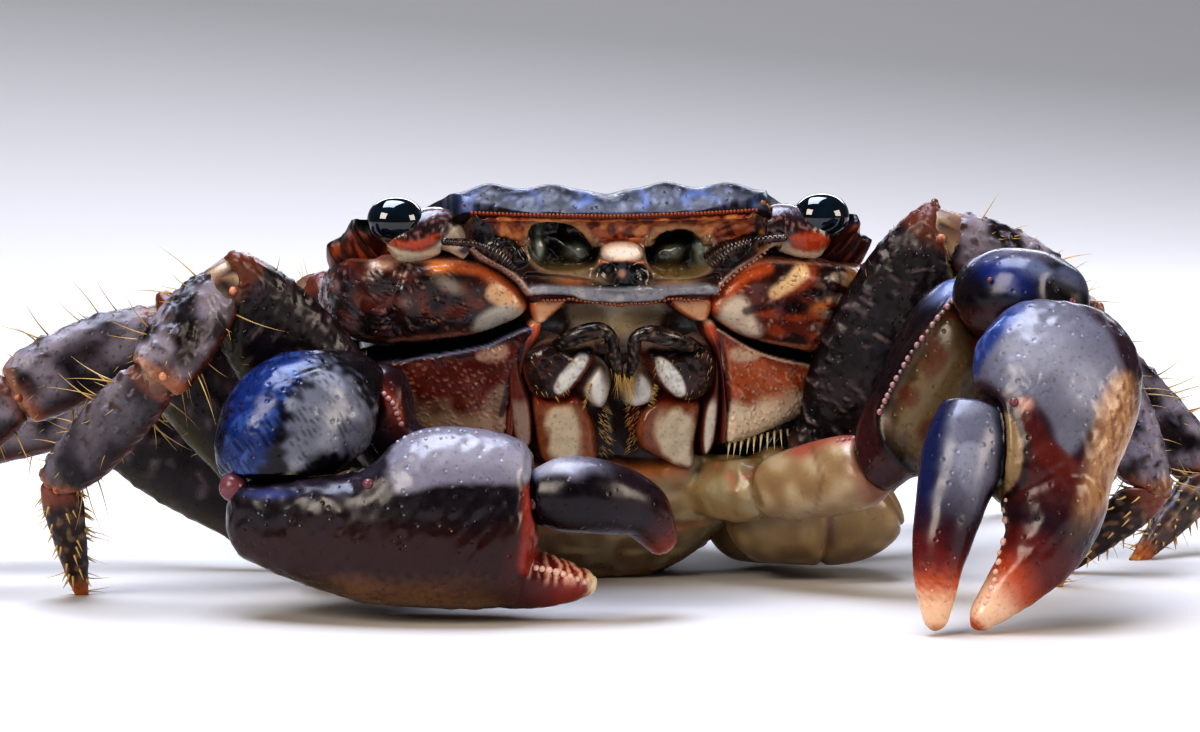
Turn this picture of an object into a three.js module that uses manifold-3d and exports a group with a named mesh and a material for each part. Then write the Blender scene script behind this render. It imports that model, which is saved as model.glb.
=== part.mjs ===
// A marbled shore crab (Pachygrapsus marmoratus), life size, as a still museum model.
// It sits nose up on its folded tail plate and on the tips of its eight walking legs. The right claw lies
// across the mouth, and the left claw hangs with its fingertips on the ground.
// Frame: millimetres, +Z up, the crab looks along -Y and its own right side is at -X. The origin is on the
// ground under the belly. Every plate of the shell that moves against another in life is its own mesh.
import * as THREE from "three";
import { mergeVertices } from "three/addons/utils/BufferGeometryUtils.js";
import Module from "manifold-3d";

const wasm = await Module();
wasm.setup();

const vec = (x, y, z) => new THREE.Vector3(x, y, z);
const radians = THREE.MathUtils.degToRad;
const lerp = THREE.MathUtils.lerp;

// ---- Driving dimensions ----
const SHELL_LENGTH = 31; // carapace, front margin to rear margin
const NOSE = vec(0, -15, 24.7); // middle of the front margin
const TILT = radians(30); // the body is pitched nose up by this
const GAP = 0.3; // clearance between neighbouring plates
const SIDES = { right: -1, left: 1 };

// Lengths of the walking legs, front pair to rear pair, and how stout each pair is.
const LEG_LENGTHS = [
  { merus: 18.2, carpus: 8, propodus: 10.5, dactylus: 9.6, stout: 0.94 },
  { merus: 18.6, carpus: 10, propodus: 12, dactylus: 9, stout: 1.04 },
  { merus: 19.5, carpus: 10, propodus: 12, dactylus: 9, stout: 1.04 },
  { merus: 17, carpus: 7.8, propodus: 9.6, dactylus: 8.2, stout: 0.86 },
];
const LEG_ROOTS = [vec(13.2, -10.8, 7.8), vec(15.4, -6.4, 4.4), vec(15.2, -1.2, 3.3), vec(12.8, 4.6, 2.9)];
const COXA = { length: 6, levelling: 0.25, shape: [[0, 1.6, 1.6, 1.6], [0.35, 2.2, 2.2, 2.1], [0.8, 2.4, 2.3, 2.1], [1, 1.8, 1.8, 1.6]] };
// Pose of each leg in degrees. A heading of 0 points straight out to the side and 90 points to the front.
// The rise is up from level. The last piece has only a heading, as it reaches down to the ground.
const LEG_POSES = {
  right: [
    { merus: [21, 44], carpus: [34, -44], propodus: [-42, -42], dactylus: -110 },
    { merus: [-3, 42], carpus: [6, -24], propodus: [-10, -34], dactylus: -14 },
    { merus: [-20, 22], carpus: [-10, -10], propodus: [-20, -20], dactylus: -26 },
    { merus: [-62, 60], carpus: [-95, -20], propodus: [-60, -62], dactylus: -45 },
  ],
  left: [
    { merus: [29, 58], carpus: [6, -27], propodus: [2, -80], dactylus: -172 },
    { merus: [-18, 56], carpus: [20, -23], propodus: [62, -58], dactylus: -155 },
    { merus: [-28, 43], carpus: [12, -16], propodus: [30, -46], dactylus: 152 },
    { merus: [-45, 40], carpus: [-32, -14], propodus: [-34, -44], dactylus: -30 },
  ],
};

// ---- Shell colours ----
const shell = (color, roughness) => new THREE.MeshStandardMaterial({ color, roughness, metalness: 0 });
const MATERIALS = {
  back: shell(0x2a2430, 0.3),
  face: shell(0x8f5b41, 0.4),
  cheek: shell(0x4a2016, 0.35),
  flank: shell(0x8a4a30, 0.4),
  belly: shell(0xcdb699, 0.45),
  mouth: shell(0x7c5340, 0.4),
  claw: shell(0x35202a, 0.22),
  clawTip: shell(0x8a4a3c, 0.25),
  leg: shell(0x3a2e35, 0.5),
  talon: shell(0x8a5a30, 0.45),
  eye: shell(0x0b1416, 0.06),
  stalk: shell(0x5c2a1e, 0.35),
};

// ---- Geometry helpers ----

// Value at t of a smooth curve through [t, value] pairs.
function profile(pairs, t) {
  const last = pairs.length - 1;
  if (t <= pairs[0][0]) return pairs[0][1];
  if (t >= pairs[last][0]) return pairs[last][1];
  const i = pairs.findIndex((pair) => pair[0] > t) - 1;
  const slope = (j, k) => (pairs[k][1] - pairs[j][1]) / (pairs[k][0] - pairs[j][0]);
  const width = pairs[i + 1][0] - pairs[i][0];
  const startSlope = slope(Math.max(i - 1, 0), i + 1) * width;
  const endSlope = slope(i, Math.min(i + 2, last)) * width;
  const u = (t - pairs[i][0]) / width;
  const ease = u * u * (3 - 2 * u);
  return lerp(pairs[i][1], pairs[i + 1][1], ease) + u * (1 - u) * ((1 - u) * startSlope - u * endSlope);
}

// A closed skin over rings of equally many points, with a fan of triangles over each end.
function skin(rings) {
  const count = rings[0].length;
  const middle = (ring) => ring.reduce((sum, p) => sum.add(p), vec(0, 0, 0)).divideScalar(count);
  const points = rings.flat();
  const first = points.push(middle(rings[0])) - 1;
  const last = points.push(middle(rings.at(-1))) - 1;
  const lastRing = (rings.length - 1) * count;
  const index = [];
  for (let j = 0; j < count; j++) {
    const k = (j + 1) % count;
    index.push(first, k, j, last, lastRing + j, lastRing + k);
    for (let a = 0; a < lastRing; a += count) {
      const b = a + count;
      index.push(a + j, a + k, b + k, a + j, b + k, b + j);
    }
  }
  let sixVolumes = 0;
  for (let i = 0; i < index.length; i += 3) {
    const [a, b, c] = index.slice(i, i + 3).map((at) => points[at]);
    sixVolumes += a.dot(b.clone().cross(c));
  }
  if (sixVolumes < 0) index.reverse();
  return new THREE.BufferGeometry().setFromPoints(points).setIndex(index);
}

// One ring of a skin: a rounded section "above" and "below" its centre along up, and "half" wide to each side.
// A squareness of 1 is an ellipse, and a smaller value is boxier.
function section(centre, up, across, [above, below, half], sides = 8, squareness = 0.85) {
  const points = [];
  const bulge = (value) => Math.sign(value) * Math.abs(value) ** squareness;
  for (let j = 0; j < sides; j++) {
    const angle = (2 * Math.PI * (j + 0.5)) / sides;
    const high = bulge(Math.cos(angle));
    points.push(
      centre
        .clone()
        .addScaledVector(up, high * (high > 0 ? above : below))
        .addScaledVector(across, bulge(Math.sin(angle)) * half),
    );
  }
  return points;
}

// The part of a direction that stands square to an axis.
const squareTo = (axis, direction) => direction.clone().addScaledVector(axis, -direction.dot(axis)).normalize();

// A tube through points, with a radius at each of its evenly spaced rings.
function tube(points, radii, { sides = 8, grow = 0, side = vec(1, 0, 0.01) } = {}) {
  const curve = new THREE.CatmullRomCurve3(points);
  const rings = radii.map((radius, i) => {
    const share = i / (radii.length - 1);
    const along = curve.getTangent(share);
    const across = squareTo(along, side);
    const up = across.clone().cross(along);
    const overrun = i === 0 ? -grow : i === radii.length - 1 ? grow : 0;
    const centre = curve.getPoint(share).addScaledVector(along, overrun);
    return section(centre, up, across, Array(3).fill(radius + grow), sides, 1);
  });
  return skin(rings);
}

// A box between two corners.
function block([x0, y0, z0], [x1, y1, z1]) {
  const box = new THREE.BoxGeometry(x1 - x0, y1 - y0, z1 - z0);
  return box.translate((x0 + x1) / 2, (y0 + y1) / 2, (z0 + z1) / 2);
}

function toSolid(geometry) {
  const bare = new THREE.BufferGeometry().setAttribute("position", geometry.getAttribute("position"));
  bare.setIndex(geometry.index);
  const merged = mergeVertices(bare, 1e-4);
  const vertProperties = merged.attributes.position.array;
  const triVerts = new Uint32Array(merged.index.array);
  return new wasm.Manifold(new wasm.Mesh({ numProp: 3, vertProperties, triVerts }));
}

// The largest body of a solid, as a geometry.
function toGeometry(solid) {
  const [largest] = solid.decompose().sort((a, b) => b.volume() - a.volume());
  const mesh = largest.getMesh();
  return new THREE.BufferGeometry()
    .setAttribute("position", new THREE.BufferAttribute(mesh.vertProperties, 3))
    .setIndex(new THREE.BufferAttribute(mesh.triVerts, 1));
}

const cut = (geometry, ...cutters) =>
  toGeometry(cutters.reduce((solid, cutter) => solid.subtract(toSolid(cutter)), toSolid(geometry)));
const join = (...pieces) => toGeometry(pieces.map(toSolid).reduce((a, b) => a.add(b)));
const keep = (geometry, ...regions) =>
  toGeometry(toSolid(geometry).intersect(regions.map(toSolid).reduce((a, b) => a.add(b))));

// ---- The two frames: the crab stands on the ground, and its body is tilted inside it ----
const crab = new THREE.Group();
const body = new THREE.Group();
body.position.copy(NOSE);
body.rotation.x = -TILT;
crab.add(body);
crab.updateMatrixWorld(true);
const GROUND = block([-90, -90, -20], [90, 90, 0]);
const GROUND_IN_BODY = GROUND.clone().applyMatrix4(body.matrixWorld.clone().invert());
const mirrored = (side, point) => vec(side * point.x, point.y, point.z);

function place(group, name, geometry, material) {
  const mesh = new THREE.Mesh(geometry, material);
  mesh.name = name;
  group.add(mesh);
}

// ---- Carapace, in the body's frame: x to the left, y to the rear, z off the back ----
// Half outline from the middle of the front to the middle of the rear: straight front margin, orbit,
// three side teeth, then the flank drawing in to the rear margin.
const FRONT_HALF = [[0, 0], [3.5, -0.1], [7, 0.1], [9.6, 0.35], [10.4, 1.0]];
const ORBIT_HALF = [[10.8, 2.6], [12.2, 4.2], [14.2, 4.7], [15.7, 4.2]];
const TEETH_HALF = [[16.9, 2.9], [17.3, 5.4], [18.3, 5.4], [18.1, 7.6], [17.7, 8.6], [18.2, 8.8]];
const SIDE_HALF = [[17.7, 12], [16.9, 16], [15.4, 21], [13.0, 25.6], [9.6, 29.3], [6, 30.6]];
const HALF_WIDTH = [[0, 18.5], [9, 18.2], [15, 17.2], [19, 16.2], [23, 14.6], [26.5, 12.3], [29.3, 9.6], [31, 7]];
const BACK_HEIGHT = [[0, 0], [0.6, 1.3], [1.6, 2.4], [3, 2.9], [6, 3.2], [12, 3.6], [18, 3.5], [23, 2.7], [27, 1.3], [31, -0.8]];
const MARGIN_HEIGHT = [[0, 0.1], [3, 0.9], [5.5, 0.9], [9, 0.4], [14, -0.4], [20, -1.2], [26, -1.8], [31, -1.4]];
const RIM_DEPTH = 0.9;
const SHELL_MIDDLE = 16; // where the rings of the carapace draw together

// Height of the back, with four low lobes behind the front margin.
function backHeight(x, y) {
  const out = Math.min(Math.abs(x) / profile(HALF_WIDTH, y), 1);
  const lobes = 0.45 * Math.cos((2 * Math.PI * (Math.abs(x) - 2.9)) / 5.6) * Math.exp(-(((y - 2.2) / 1.5) ** 2));
  return lerp(profile(BACK_HEIGHT, y), profile(MARGIN_HEIGHT, y), out ** 3.2) + lobes * THREE.MathUtils.clamp(y, 0, 1);
}

function carapace() {
  const half = [...FRONT_HALF, ...ORBIT_HALF, ...TEETH_HALF, ...SIDE_HALF];
  const outline = [...half, [0, SHELL_LENGTH], ...half.slice(1).reverse().map(([x, y]) => [-x, y])];
  const drawnIn = (share, height) =>
    outline.map(([x, y]) => {
      const nearer = lerp(SHELL_MIDDLE, y, share);
      return vec(x * share, nearer, height(x * share, nearer, y));
    });
  return skin([
    drawnIn(0.8, () => -1.2),
    drawnIn(0.965, (x, y, rimY) => profile(MARGIN_HEIGHT, rimY) - RIM_DEPTH),
    drawnIn(1, (x, y, rimY) => profile(MARGIN_HEIGHT, rimY)),
    ...[0.975, 0.93, 0.84, 0.6, 0.3].map((share) => drawnIn(share, backHeight)),
  ]);
}

// ---- Under side: level slices of one plan, from under the rim of the carapace down to the breastplate ----
const BODY_PLAN = [[0, 0], [0.4, 0], [0.72, 0.01], [0.9, 0.05], [0.98, 0.14], [1, 0.28], [0.97, 0.45], [0.89, 0.62], [0.76, 0.78], [0.57, 0.91], [0.3, 0.985]];
const UNDER_SLICES = [
  { height: -1.5, half: 17.1, front: 3.4, rear: 30.2 },
  { height: -3.0, half: 16.9, front: 4.3, rear: 30.1 },
  { height: -4.8, half: 16.3, front: 5.8, rear: 29.4 },
  { height: -8.0, half: 14.6, front: 8.5, rear: 28.2 },
  { height: -12.0, half: 11.6, front: 11.8, rear: 26.0 },
  { height: -14.6, half: 8.8, front: 14.2, rear: 24.4 },
  { height: -16.3, half: 6.0, front: 16.6, rear: 22.6 },
  { height: -17.2, half: 3.0, front: 18.6, rear: 21.0 },
];

function underBody() {
  return skin(
    UNDER_SLICES.map(({ height, half, front, rear }) => {
      const onPlan = ([x, y]) => vec(half * x, lerp(front, rear, y), height);
      const left = BODY_PLAN.map(onPlan);
      const right = left.slice(1).reverse().map((p) => mirrored(-1, p));
      return [...left, vec(0, rear, height), ...right];
    }),
  );
}

// ---- Eyes and feelers ----
const EYE = { centre: vec(14.1, 2.4, 1.0), axes: [1.85, 1.6, 1.5] };
const STALK = { line: [vec(8.9, 3.1, 0.1), vec(12.5, 2.5, 0.8)], radii: [0.9, 1.45, 1.55, 1.25] };
const FEELER = {
  line: [vec(6.4, 3.3, -1.9), vec(7.6, 2.5, -1.3), vec(9.3, 2.0, -0.9), vec(11.4, 1.2, -1.1)],
  radii: [0.75, 0.8, 0.5, 0.3, 0.26],
};

function eye(side, grow = 0) {
  const [x, y, z] = mirrored(side, EYE.centre);
  const [rx, ry, rz] = EYE.axes.map((axis) => axis + grow);
  return new THREE.SphereGeometry(1, 11, 7).scale(rx, ry, rz).translate(x, y, z);
}

const mirroredTube = ({ line, radii }, side, sides, grow) =>
  tube(line.map((point) => mirrored(side, point)), radii, { sides, grow, side: vec(0, 0, 1) });
const stalk = (side, grow = 0) => mirroredTube(STALK, side, 10, grow);
const feeler = (side, grow = 0) => mirroredTube(FEELER, side, 6, grow);

// ---- Mouth leaves (third maxillipeds): two plates that close the mouth frame ----
const LEAF = { top: vec(3.0, 6.5, -5.7), foot: vec(2.9, 11.7, -13.0), bow: 0.35 };
const LEAF_ROWS = [[0, 2.3, 0.7], [0.13, 2.6, 0.85], [0.42, 2.6, 0.9], [0.75, 2.3, 0.9], [1, 1.5, 0.7]];

function mouthLeaf(side, grow = 0) {
  const along = LEAF.foot.clone().sub(LEAF.top).setX(0).normalize();
  const out = along.clone().cross(vec(1, 0, 0));
  const rings = LEAF_ROWS.map(([share, half, thick]) => {
    const centre = LEAF.top.clone().lerp(LEAF.foot, share).addScaledVector(out, LEAF.bow * Math.sin(Math.PI * share));
    const overrun = share === 0 ? -grow : share === 1 ? grow : 0;
    const size = [thick + grow, thick + grow, half + grow];
    return section(mirrored(side, centre).addScaledVector(along, overrun), out, vec(side, 0, 0), size, 10, 0.75);
  });
  return skin(rings);
}

// ---- Abdomen: the narrow tail plate folded forward under the breastplate ----
const TAIL_LINE = [vec(0, 30.6, -3.4), vec(0, 30.6, -6.4), vec(0, 29.0, -9.8), vec(0, 26.2, -12.7), vec(0, 23.2, -14.7), vec(0, 19.6, -16.7)];
const TAIL_HALF_WIDTH = [[0, 5.4], [0.3, 5.2], [0.6, 4.0], [0.85, 2.8], [1, 1.4]];
const TAIL_THICKNESS = 0.8;

function abdomen(grow = 0) {
  const curve = new THREE.CatmullRomCurve3(TAIL_LINE);
  const steps = 8;
  const rings = [];
  for (let i = 0; i <= steps; i++) {
    const up = vec(1, 0, 0).cross(curve.getTangent(i / steps));
    const size = [TAIL_THICKNESS + grow, TAIL_THICKNESS + grow, profile(TAIL_HALF_WIDTH, i / steps) + grow];
    rings.push(section(curve.getPoint(i / steps), up, vec(1, 0, 0), size, 10, 0.8));
  }
  return skin(rings);
}

// ---- Limbs ----
// A length of limb from one joint to the next. Its ends lie in the planes that halve the bend at each joint.
// Each entry of shape is the share of the way along, then the section above, below and to each side.
function limbPiece({ before, start, end, after, facing, shape, stout = 1, sides = 8, grow = 0 }) {
  const axis = end.clone().sub(start).normalize();
  const across = squareTo(axis, facing);
  const up = across.clone().cross(axis);
  const startPlane = before ? axis.clone().add(before).normalize() : axis;
  const endPlane = after ? axis.clone().add(after).normalize() : axis;
  return skin(
    shape.map(([share, ...size]) => {
      const centre = start.clone().lerp(end, share).addScaledVector(axis, lerp(GAP / 2, after ? -GAP / 2 : 0, share));
      const nearStart = Math.max(0, 1 - share * 6);
      const nearEnd = Math.max(0, 1 - (1 - share) * 6);
      const normal = axis.clone().lerp(startPlane, nearStart).lerp(endPlane, nearEnd).normalize();
      const grown = size.map((value) => value * stout + grow);
      return section(centre, squareTo(normal, up), squareTo(normal, across), grown, sides);
    }),
  );
}

// ---- Walking legs ----
const LEG_SHAPES = {
  merus: [[0, 1.5, 1.5, 1.3], [0.07, 1.9, 1.9, 1.6], [0.14, 1.7, 1.8, 1.4], [0.25, 2.8, 3.9, 1.6], [0.45, 3.6, 4.2, 1.65], [0.68, 3.8, 3.9, 1.65], [0.88, 3.4, 3.2, 1.65], [1, 2.7, 2.3, 1.45]],
  carpus: [[0, 1.6, 1.3, 1.1], [0.14, 2.2, 1.8, 1.35], [0.45, 2.7, 2.1, 1.5], [0.82, 2.6, 2.2, 1.5], [1, 2.0, 1.8, 1.3]],
  propodus: [[0, 1.6, 1.5, 1.1], [0.12, 2.1, 1.9, 1.3], [0.4, 2.2, 2.1, 1.35], [0.78, 2.0, 1.9, 1.3], [1, 1.4, 1.4, 1.0]],
  dactylus: [[0, 1.1, 1.1, 0.85], [0.12, 1.4, 1.4, 1.0], [0.4, 1.2, 1.2, 0.9], [0.75, 0.8, 0.8, 0.65], [0.94, 0.45, 0.45, 0.4], [1, 0.3, 0.3, 0.3]],
};
const TIP_SINK = 0.25; // how far a tip runs into the ground before it is cut flat

function direction(side, heading, rise) {
  const [h, r] = [radians(heading), radians(rise)];
  return vec(side * Math.cos(h) * Math.cos(r), -Math.sin(h) * Math.cos(r), Math.sin(r));
}

// The start and direction of the short first piece (coxa) that carries a limb: flatter than the piece after it.
function coxaOf(root, next) {
  const axis = next.clone().sub(root).normalize();
  axis.setZ(axis.z * COXA.levelling).normalize();
  return { start: root.clone().addScaledVector(axis, -COXA.length), axis };
}

// The five joints of a leg, from its root on the breastplate to its tip on the ground.
function legJoints(sideName, pair) {
  const side = SIDES[sideName];
  const pose = LEG_POSES[sideName][pair];
  const lengths = LEG_LENGTHS[pair];
  const joints = [mirrored(side, LEG_ROOTS[pair])];
  for (const part of ["merus", "carpus", "propodus"]) {
    joints.push(joints.at(-1).clone().addScaledVector(direction(side, ...pose[part]), lengths[part]));
  }
  const ankle = joints.at(-1);
  const drop = THREE.MathUtils.radToDeg(Math.asin((ankle.z + TIP_SINK) / lengths.dactylus));
  joints.push(ankle.clone().addScaledVector(direction(side, pose.dactylus, -drop), lengths.dactylus));
  return joints;
}

function addLeg(sideName, pair) {
  const joints = legJoints(sideName, pair);
  const axes = joints.slice(1).map((joint, i) => joint.clone().sub(joints[i]).normalize());
  const facing = joints[3].clone().sub(joints[0]).setZ(0).normalize().cross(vec(0, 0, 1));
  const coxaAxis = coxaOf(joints[0], joints[1]).axis;
  Object.entries(LEG_SHAPES).forEach(([part, shape], i) => {
    const piece = limbPiece({
      before: axes[i - 1] ?? coxaAxis,
      start: joints[i],
      end: joints[i + 1],
      after: axes[i + 1],
      facing,
      shape,
      stout: LEG_LENGTHS[pair].stout,
    });
    const isTip = part === "dactylus";
    place(crab, `leg_${sideName}_${pair + 1}_${part}`, isTip ? cut(piece, GROUND) : piece, isTip ? MATERIALS.talon : MATERIALS.leg);
  });
}

// ---- Claw legs ----
// Joints from the body out to the wrist, then the hand with its fixed finger, then the moving finger.
const CLAWS = {
  right: {
    joints: [vec(-9.0, -13.0, 6.1), vec(-12.2, -16.3, 6.9), vec(-16.6, -18.0, 13.6), vec(-25.4, -20.8, 8.4)],
    shapes: {
      ischium: [[0, 1.5, 1.5, 1.5], [0.2, 2.0, 2.0, 1.9], [0.8, 2.1, 2.1, 1.9], [1, 1.5, 1.5, 1.4]],
      merus: [[0, 1.6, 1.6, 1.5], [0.2, 2.4, 2.4, 2.0], [0.55, 3.0, 2.8, 2.2], [0.85, 3.2, 2.8, 2.3], [1, 2.2, 2.0, 1.8]],
      carpus: [[0, 2.3, 1.4, 1.9], [0.14, 4.2, 2.2, 3.2], [0.38, 5.4, 2.6, 4.0], [0.64, 5.3, 2.6, 4.0], [0.87, 3.9, 2.2, 3.2], [1, 2.0, 1.5, 1.9]],
      palm: [[0, 1.5, 1.7, 1.5], [0.08, 1.9, 2.6, 2.4], [0.26, 2.2, 4.2, 3.4], [0.44, 2.6, 5.2, 3.9], [0.54, 4.9, 5.4, 4.1], [0.64, 5.9, 5.4, 4.2], [0.8, 5.9, 5.4, 3.9], [0.94, 5.3, 5.0, 3.2], [1, 4.2, 4.2, 2.5]],
    },
    palmLine: [vec(-25.9, -20.4, 6.6), vec(-16.5, -24.0, 6.4), vec(-7.0, -26.2, 6.0)],
    faceOut: vec(-0.2, -1, 0.1),
    fixedFinger: { line: [vec(-9.6, -25.8, 2.9), vec(-6.4, -26.2, 2.5), vec(-3.3, -25.8, 2.2)], radii: [1.9, 2.0, 1.8, 1.5, 1.1, 0.6] },
    finger: {
      line: [vec(-6.6, -26.3, 7.6), vec(-3.6, -26.4, 7.7), vec(-0.6, -25.8, 6.9), vec(1.5, -25.0, 4.2)],
      radii: [1.7, 2.2, 2.15, 2.05, 1.8, 1.4, 0.8],
    },
  },
  left: {
    joints: [vec(10.4, -13.4, 6.5), vec(16.0, -19.8, 8.4), vec(21.8, -22.6, 19.0), vec(26.2, -28.6, 20.2)],
    shapes: {
      ischium: [[0, 1.6, 1.6, 1.6], [0.15, 2.2, 2.2, 2.1], [0.8, 2.6, 2.5, 2.1], [1, 1.8, 1.8, 1.5]],
      merus: [[0, 1.8, 1.7, 1.7], [0.15, 2.6, 2.6, 2.1], [0.5, 3.1, 3.1, 2.5], [0.85, 3.4, 3.2, 2.7], [1, 2.4, 2.2, 2.0]],
      carpus: [[0, 1.9, 1.6, 1.9], [0.15, 2.7, 2.3, 3.4], [0.45, 3.2, 2.8, 4.3], [0.8, 2.9, 2.5, 3.8], [1, 1.9, 1.7, 2.3]],
      palm: [[0, 2.2, 2.1, 1.7], [0.1, 4.4, 3.6, 2.7], [0.28, 5.6, 4.6, 3.6], [0.48, 5.5, 5.0, 3.9], [0.7, 4.6, 5.2, 3.8], [0.9, 3.4, 5.0, 3.3], [1, 2.2, 4.2, 2.6]],
    },
    palmLine: [vec(26.2, -29.2, 19.4), vec(25.0, -32.0, 14.0), vec(22.4, -34.6, 7.4)],
    faceOut: vec(0.1, -1, 0.45),
    fixedFinger: { line: [vec(24.4, -33.9, 9.8), vec(23.0, -35.5, 5.4), vec(18.3, -36.4, 0.4)], radii: [2.6, 3.6, 3.4, 2.9, 2.4, 1.8, 1.0] },
    finger: {
      line: [vec(19.5, -32.6, 13.9), vec(17.9, -34.2, 9.6), vec(16.3, -35.8, 4.6), vec(15.9, -36.5, 0.3)],
      radii: [1.7, 2.5, 2.4, 2.0, 1.65, 1.4, 0.9],
    },
  },
};

function palm({ palmLine, faceOut, shapes, fixedFinger }) {
  const curve = new THREE.CatmullRomCurve3(palmLine);
  const rings = shapes.palm.map(([share, ...size]) => {
    const along = curve.getTangent(share);
    const across = squareTo(along, faceOut);
    const fingerward = across.clone().cross(along).multiplyScalar(Math.sign(along.x));
    return section(curve.getPoint(share), fingerward, across, size, 14, 0.8);
  });
  return join(skin(rings), tube(fixedFinger.line, fixedFinger.radii, { sides: 10, side: faceOut }));
}

function clawPieces(sideName, grow = 0) {
  const { joints, shapes } = CLAWS[sideName];
  const axes = joints.slice(1).map((joint, i) => joint.clone().sub(joints[i]).normalize());
  const facing = axes[2].clone().cross(axes[1]).normalize();
  const limb = (part, i) =>
    limbPiece({
      before: axes[i - 1] ?? coxaOf(joints[0], joints[1]).axis,
      start: joints[i],
      end: joints[i + 1],
      after: axes[i + 1],
      facing,
      shape: shapes[part],
      sides: 12,
      grow,
    });
  return { ischium: limb("ischium", 0), merus: limb("merus", 1), carpus: limb("carpus", 2) };
}

function addClaw(sideName) {
  const claw = CLAWS[sideName];
  const { line, radii } = claw.finger;
  const pieces = clawPieces(sideName);
  const fingerRoom = tube(line, radii, { sides: 10, side: claw.faceOut, grow: GAP });
  const carpusRoom = clawPieces(sideName, GAP).carpus;
  place(crab, `claw_${sideName}_ischium`, pieces.ischium, MATERIALS.belly);
  place(crab, `claw_${sideName}_merus`, cut(pieces.merus, carpusRoom), MATERIALS.claw);
  place(crab, `claw_${sideName}_carpus`, pieces.carpus, MATERIALS.claw);
  place(crab, `claw_${sideName}_palm`, cut(palm(claw), carpusRoom, fingerRoom, GROUND), MATERIALS.claw);
  place(crab, `claw_${sideName}_finger`, cut(tube(line, radii, { sides: 10, side: claw.faceOut }), GROUND), MATERIALS.clawTip);
}

// ---- Body: breastplate with the coxae of the ten limbs, face, cheeks, flanks, mouth and tail ----
function coxa([root, next], stout, grow = 0) {
  const { start, axis } = coxaOf(root, next);
  const after = next.clone().sub(root).normalize();
  const facing = vec(-Math.sign(root.x) * axis.y, Math.abs(axis.x), 0);
  const piece = limbPiece({ start, end: root, after, facing, shape: COXA.shape, stout, grow, sides: 6 });
  return piece.applyMatrix4(body.matrixWorld.clone().invert());
}

const coxae = (grow) =>
  Object.keys(SIDES).flatMap((sideName) => [
    ...LEG_LENGTHS.map(({ stout }, pair) => coxa(legJoints(sideName, pair), stout, grow)),
    coxa(CLAWS[sideName].joints, 1.0, grow),
  ]);

const FACE_HALF = 7; // the face spans this much to each side
const MOUTH_HALF = 5.9; // and the mouth frame under it spans this much
const MOUTH_TOP = -5.3;
const GROOVE = -4.9; // the wet groove between cheek and flank
const CHEEK_REAR = 15;
const FLANK_FOOT = -11.4;

// A box on one side of the body, from x0 outwards.
const sideBlock = (side, x0, y0, z0, y1, z1) =>
  block([side > 0 ? x0 : -25, y0, z0], [side > 0 ? 25 : -x0, y1, z1]);

function addBody() {
  const under = cut(underBody(), carapace().translate(0, 0, -GAP));
  const leaves = [-1, 1].map((side) => mouthLeaf(side, GAP));
  const organs = [-1, 1].flatMap((side) => [eye(side, GAP), stalk(side, GAP), feeler(side, GAP)]);
  const face = block([-FACE_HALF, -5, MOUTH_TOP], [FACE_HALF, CHEEK_REAR, 0]);
  const faceRoom = block([-FACE_HALF - GAP, -5, MOUTH_TOP - GAP], [FACE_HALF + GAP, CHEEK_REAR + GAP, 0]);
  const core = [
    block([-MOUTH_HALF, -5, FLANK_FOOT - 1], [MOUTH_HALF, 35, MOUTH_TOP - GAP]),
    block([-MOUTH_HALF, CHEEK_REAR + GAP, FLANK_FOOT], [MOUTH_HALF, 35, 0]),
    block([-20, -5, -20], [20, 35, FLANK_FOOT - GAP]),
  ];
  place(body, "carapace", cut(carapace(), ...organs), MATERIALS.back);
  place(body, "face", cut(keep(under, face), ...organs, ...leaves), MATERIALS.face);
  const breast = join(keep(under, ...core), ...coxae(0));
  place(body, "sternum", cut(breast, ...leaves, abdomen(GAP), GROUND_IN_BODY), MATERIALS.belly);
  place(body, "abdomen", cut(abdomen(), GROUND_IN_BODY), MATERIALS.belly);
  for (const [sideName, side] of Object.entries(SIDES)) {
    const cheek = sideBlock(side, FACE_HALF + GAP, -5, GROOVE + GAP / 2, CHEEK_REAR, 0);
    const flank = [
      sideBlock(side, MOUTH_HALF + GAP, -5, FLANK_FOOT, CHEEK_REAR + 1, GROOVE - GAP / 2),
      sideBlock(side, MOUTH_HALF + GAP, CHEEK_REAR + GAP, FLANK_FOOT, 35, 0),
    ];
    place(body, `cheek_${sideName}`, cut(keep(under, cheek), ...organs), MATERIALS.cheek);
    const rooms = [faceRoom, ...coxae(GAP), ...leaves, abdomen(GAP)];
    place(body, `flank_${sideName}`, cut(keep(under, ...flank), ...rooms), MATERIALS.flank);
    place(body, `mouth_${sideName}`, mouthLeaf(side), MATERIALS.mouth);
    place(body, `eyestalk_${sideName}`, cut(stalk(side), eye(side, GAP)), MATERIALS.stalk);
    place(body, `eye_${sideName}`, eye(side), MATERIALS.eye);
    place(body, `antenna_${sideName}`, feeler(side), MATERIALS.stalk);
  }
}

addBody();
for (const sideName of Object.keys(SIDES)) {
  addClaw(sideName);
  LEG_LENGTHS.forEach((lengths, pair) => addLeg(sideName, pair));
}

export default crab;
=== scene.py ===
# A marbled shore crab (Pachygrapsus marmoratus), life size, as a still museum model: a wet, glossy shell
# in violet-brown and blue-grey, the blue-grey partly a painted sheen, red-brown and cream below, with straw-coloured
# bristles on its legs.
# It sits nose up on its folded tail plate, with the right claw laid across the mouth.
import math

import bpy
import numpy as np
from mathutils import Matrix, Vector
from mathutils.bvhtree import BVHTree


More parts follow.
